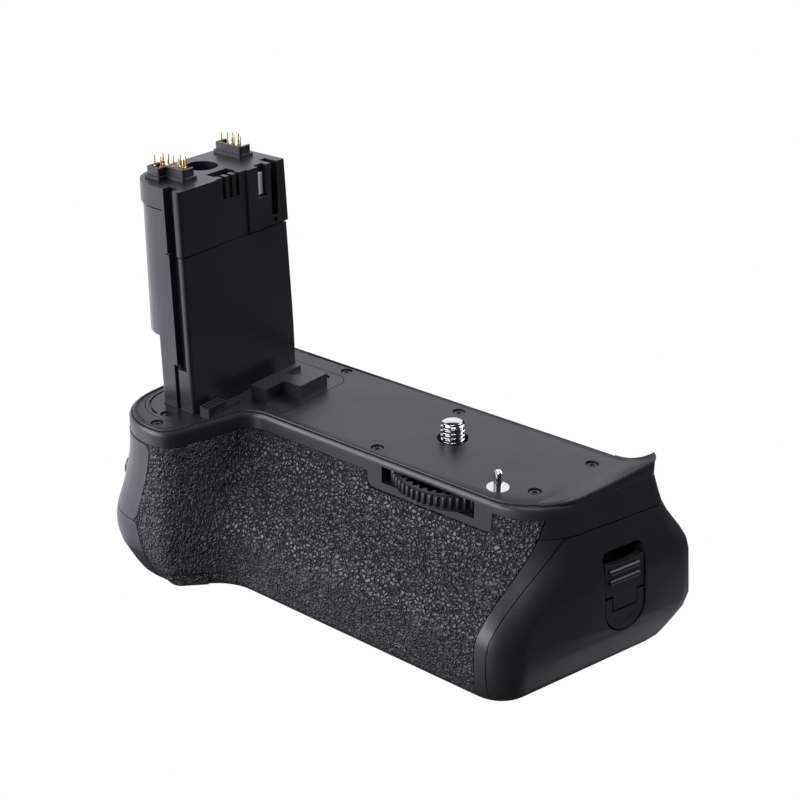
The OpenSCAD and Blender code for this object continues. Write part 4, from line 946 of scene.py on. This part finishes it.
def buildEndLip(form):
    tree = surfaceTree(mergedFrame("top_cover"))
    crest, (firstInset, lastInset) = form["crest"], form["insets"]
    rows, crestLine = [], []
    for i in range(form["rows"] + 1):
        share = i / form["rows"]
        y = form["back"] + (form["front"] - form["back"]) * share
        start = Vector((form["rayFrom"], y, form["rayLevel"])) * mm
        edge = tree.ray_cast(start, Vector((-1, 0, 0)))[0].x / mm
        fade = max(0.0, (share - form["fadeFrom"]) / (1 - form["fadeFrom"]))
        edge -= firstInset + (lastInset - firstInset) * fade * fade * (3 - 2 * fade)
        reach = form["reach"] * math.sqrt(1 - share) + crest * form["leastReach"]
        height = form["height"] * (1 - share) ** form["sweep"]
        row = [(edge - reach, form["foot"])]
        for j in range(form["steps"] + 1):
            step = j / form["steps"]
            rise = form["proud"] + height * step ** form["hollow"]
            row.append((edge - reach + (reach - 2 * crest) * step, rise))
        top = row[-1][1]
        row += [(edge - inward * crest, top + upward * crest) for inward, upward in form["crestShape"]]
        row.append((edge, form["foot"]))
        rows.append([Vector((x, y, z)) * mm for x, z in row])
        crestLine.insert(0, Vector((edge - crest, y, top)) * mm)
    enter(closedSheet("endLip", rows, form["smoothAngle"]), "shell_plastic", "grip_body")
    return crestLine


# rubber carried on below the skin to the bottom edge
hemForm = {
    "levels": (-40.8, -41.6, -42.6, -43.6, -44.6, -45.4, -46.0, -46.35), "left": -67.5,
    "proud": 0.06, "thick": 0.5, "standOff": 8.0, "rayLength": 20.0, "smoothAngle": 50,
    "edgeLevel": 0.02, "upright": 0.8,  # the skin's lower edges
    "lookUp": 1.5, "lookOut": 0.01, "clearFor": 6.0,  # and those of them with no shell in front
}


def buildRubberHem(form):
    tree = surfaceTree(mergedFrame("body_shell"))
    work = mergedFrame("rubber_grip")
    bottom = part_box("rubber_grip")[0][2] + form["edgeLevel"] * mm
    raised = Vector((0.0, 0.0, form["lookUp"] * mm))
    outer = {}
    for edge in work.edges:
        sides = [face for face in edge.link_faces if abs(face.normal.z) < form["upright"]]
        if len(sides) != 1 or max(vertex.co.z for vertex in edge.verts) >= bottom:
            continue
        middle, normal = (edge.verts[0].co + edge.verts[1].co) / 2, sides[0].normal
        flat = Vector((normal.x, normal.y, 0.0)).normalized()
        start = middle + raised + flat * form["lookOut"] * mm
        if tree.ray_cast(start, flat, form["clearFor"] * mm)[0] is None:
            outer[edge] = flat
    line = [vertex for vertex in max(chain(outer), key=len) if vertex.co.x > form["left"] * mm]
    loops = []
    for vertex in line:
        outward = sum((outer[edge] for edge in vertex.link_edges if edge in outer), Vector()).normalized()
        points = []
        for level in form["levels"]:
            place = Vector((vertex.co.x, vertex.co.y, level * mm))
            start = place + outward * form["standOff"] * mm
            hit = tree.ray_cast(start, -outward, form["rayLength"] * mm)[0]
            points.append(hit or (points[-1] if points else place))
        front = [point + outward * form["proud"] * mm for point in points]
        rear = [point - outward * form["thick"] * mm for point in reversed(points)]
        loops.append(front + rear)
    work.free()
    enter(closedSheet("rubberHem", loops, form["smoothAngle"]), "grip_rubber", "grip_body")


# bare plastic over the skin at the hand column's corner: the panel's wing and the piece below it
wingForm = {
    "centre": (-66.0, -30.0), "levels": 22, "steps": 18, "lastTurn": 55.0, "proud": 0.14, "thick": 0.4,
    "far": 40.0, "rayFrom": -90.0, "seam": 0.5, "smoothAngle": 40,
    "sheets": {  # the free edge runs through stops of height and x
        "panelWing": {
            "corner": 2.2, "edge": ((-4.9, -64.6), (-14.6, -65.4), (-20.5, -66.6), (-27.0, -68.2))},
        "cornerGuard": {
            "corner": 0.6, "edge": ((-27.3, -68.2), (-32.5, -67.2), (-38.5, -65.8), (-45.8, -64.4))},
    },
}


def alongStops(stops, level):
    spans = list(zip(stops, stops[1:]))
    (high, first), (low, second) = next((span for span in spans if level >= span[1][0]), spans[-1])
    return first + (second - first) * (high - level) / (high - low)


def buildPanelWings(form):
    work = bmesh.new()
    for node in ("body_shell", "rubber_grip", "control_panel"):
        work.from_mesh(cadNodes[node].data)
    tree = surfaceTree(work)
    (centreX, centreY), last = form["centre"], math.radians(form["lastTurn"])
    for name, sheet in form["sheets"].items():
        stops, corner = sheet["edge"], sheet["corner"]
        top, bottom = stops[0][0], stops[-1][0]
        loops = []
        for i in range(form["levels"] + 1):
            level = top + (bottom - top) * (0.5 - 0.5 * math.cos(math.pi * i / form["levels"]))
            gap = max(0.0, 1 - min(top - level, level - bottom) / corner)
            edge = alongStops(stops, level) - corner * (1 - math.sqrt(1 - gap * gap))
            start = tree.ray_cast(Vector((edge, form["rayFrom"], level)) * mm, Vector((0, 1, 0)))[0] / mm
            first = math.atan2(centreX - start.x, centreY - start.y)
            axis = Vector((centreX, centreY, level))
            front, rear, reach = [], [], 0.0
            for j in range(form["steps"] + 1):
                turn = first + (last - first) * j / form["steps"]
                away = Vector((-math.sin(turn), -math.cos(turn), 0.0))
                depth = tree.ray_cast((axis + away * form["far"]) * mm, -away)[3]
                found = form["far"] - depth / mm if depth else 0.0
                reach = found if found > reach - form["seam"] else reach  # carried on across seams
                front.append((axis + away * (reach + form["proud"])) * mm)
                rear.insert(0, (axis + away * (reach - form["thick"])) * mm)
            loops.append(front + rear)
        piece = closedSheet(name, loops, form["smoothAngle"])
        enter(piece, nodeSlot["control_panel"], "grip_body")


buildPlateBead(beadForm, buildEndLip(lipForm))
buildRubberHem(hemForm)
buildPanelWings(wingForm)
print("bead, lip, hem and corner sheets made")


# plain arrow on the release knob's disc, in the latch's own frame
arrowForm = {
    "tilt": 7.0, "face": 1.2, "discDown": 2.25, "inner": 4.0, "outer": 4.6, "from": -140.0, "to": -62.0,
    "steps": 14, "headHalf": 0.8, "headTurn": 17.0, "sunk": 0.2, "rise": 0.1,
}


def buildArrow(form):
    joint = joints["release_tab_flip"]
    across = Vector(joint["axis"])
    level = Vector((across.y, -across.x, 0.0))
    tilt = math.radians(form["tilt"])
    out = level * math.cos(tilt) + Vector((0.0, 0.0, math.sin(tilt)))
    up = Vector((0.0, 0.0, math.cos(tilt))) - level * math.sin(tilt)
    centre = Vector(joint["pos_m"]) + (out * form["face"] - up * form["discDown"]) * mm
    middle, end, steps = (form["inner"] + form["outer"]) / 2, form["to"], form["steps"]
    angles = [form["from"] + (end - form["from"]) * i / steps for i in range(steps + 1)]
    outline = [(form["outer"], angle) for angle in angles]
    outline += [(middle + form["headHalf"], end), (middle, end + form["headTurn"])]
    outline.append((middle - form["headHalf"], end))
    outline += [(form["inner"], angle) for angle in reversed(angles)]
    points = []
    for lift in (-form["sunk"], form["rise"]):
        for radius, angle in outline:
            turn = math.radians(angle)
            flat = across * radius * math.cos(turn) + up * radius * math.sin(turn)
            points.append(centre + (flat + out * lift) * mm)
    piece = newPiece("releaseArrow", points, stackFaces(len(outline), 2))
    enter(piece, "trim_plastic", "magazine")


buildArrow(arrowForm)
print("arrow raised")


# a pale table lit from below and soft boxes round it; angles as for the camera
studio = {
    "floorSize": 8.0,
    "backdrop": 1.0,
    "airColour": (0.95, 0.96, 1.0),
    "airStrength": 0.055,
    "lampColour": (0.955, 0.935, 1.04),
    "distance": 1.0,
    "lamps": {
        "topBox": {"azimuth": 34.0, "elevation": 64.0, "size": (0.5, 0.3), "radiance": 8.0},
        "backBox": {"azimuth": -144.0, "elevation": 28.0, "size": (0.9, 0.7), "radiance": 1.4},
        "leftUpperBox": {"azimuth": -53.0, "elevation": 44.0, "size": (0.7, 0.7), "radiance": 0.9},
        "leftTableBox": {"azimuth": -26.0, "elevation": -26.0, "size": (1.25, 0.5), "radiance": 1.1},
        "frontBox": {"azimuth": -26.0, "elevation": 12.0, "size": (1.2, 0.5), "radiance": 8.4},
        "sideTableBox": {"azimuth": -86.0, "elevation": -14.0, "size": (1.5, 0.9), "radiance": 1.6},
        "rightUpperBox": {"azimuth": 149.0, "elevation": 36.0, "size": (0.7, 0.6), "radiance": 5.4},
        "rightTableBox": {"azimuth": 140.0, "elevation": -42.0, "size": (0.8, 0.5), "radiance": 0.7},
    },
}


def buildStudio(settings):
    half, low = settings["floorSize"] / 2, cadBox[0][2]
    corners = [(-half, -half, low), (half, -half, low), (half, half, low), (-half, half, low)]
    floor = newPiece("paleFloor", corners, [(0, 1, 2, 3)])
    floor.visible_diffuse = floor.visible_glossy = floor.visible_shadow = False
    paper = bpy.data.materials.new("palePaper")
    paper.use_nodes = True
    graph = paper.node_tree
    graph.nodes.clear()
    output = graph.nodes.new("ShaderNodeOutputMaterial")
    graph.links.new(graph.nodes.new("ShaderNodeEmission").outputs[0], output.inputs["Surface"])
    floor.data.materials.append(paper)
    world = bpy.context.scene.world or bpy.data.worlds.new("studioAir")
    bpy.context.scene.world = world
    world.use_nodes = True
    graph = world.node_tree
    air = graph.nodes["Background"]
    air.inputs["Color"].default_value = (*settings["airColour"], 1.0)
    seen = graph.nodes.new("ShaderNodeLightPath").outputs["Is Camera Ray"]
    strength = calc(graph, "MULTIPLY_ADD", seen, settings["backdrop"], settings["airStrength"])
    graph.links.new(strength, air.inputs["Strength"])
    middle = (Vector(cadBox[0]) + Vector(cadBox[1])) / 2
    for name, box in settings["lamps"].items():
        lamp = bpy.data.lights.new(name, "AREA")
        lamp.shape = "RECTANGLE"
        lamp.color = settings["lampColour"]
        lamp.size, lamp.size_y = box["size"]
        lamp.energy = box["radiance"] * math.pi * lamp.size * lamp.size_y
        stand = linked(name, lamp)
        outward = direction(box["azimuth"], box["elevation"])
        stand.location = middle + outward * settings["distance"]
        stand.rotation_euler = outward.to_track_quat("Z", "Y").to_euler()
    bpy.context.scene.view_settings.view_transform = "Standard"


buildStudio(studio)
print("studio set")
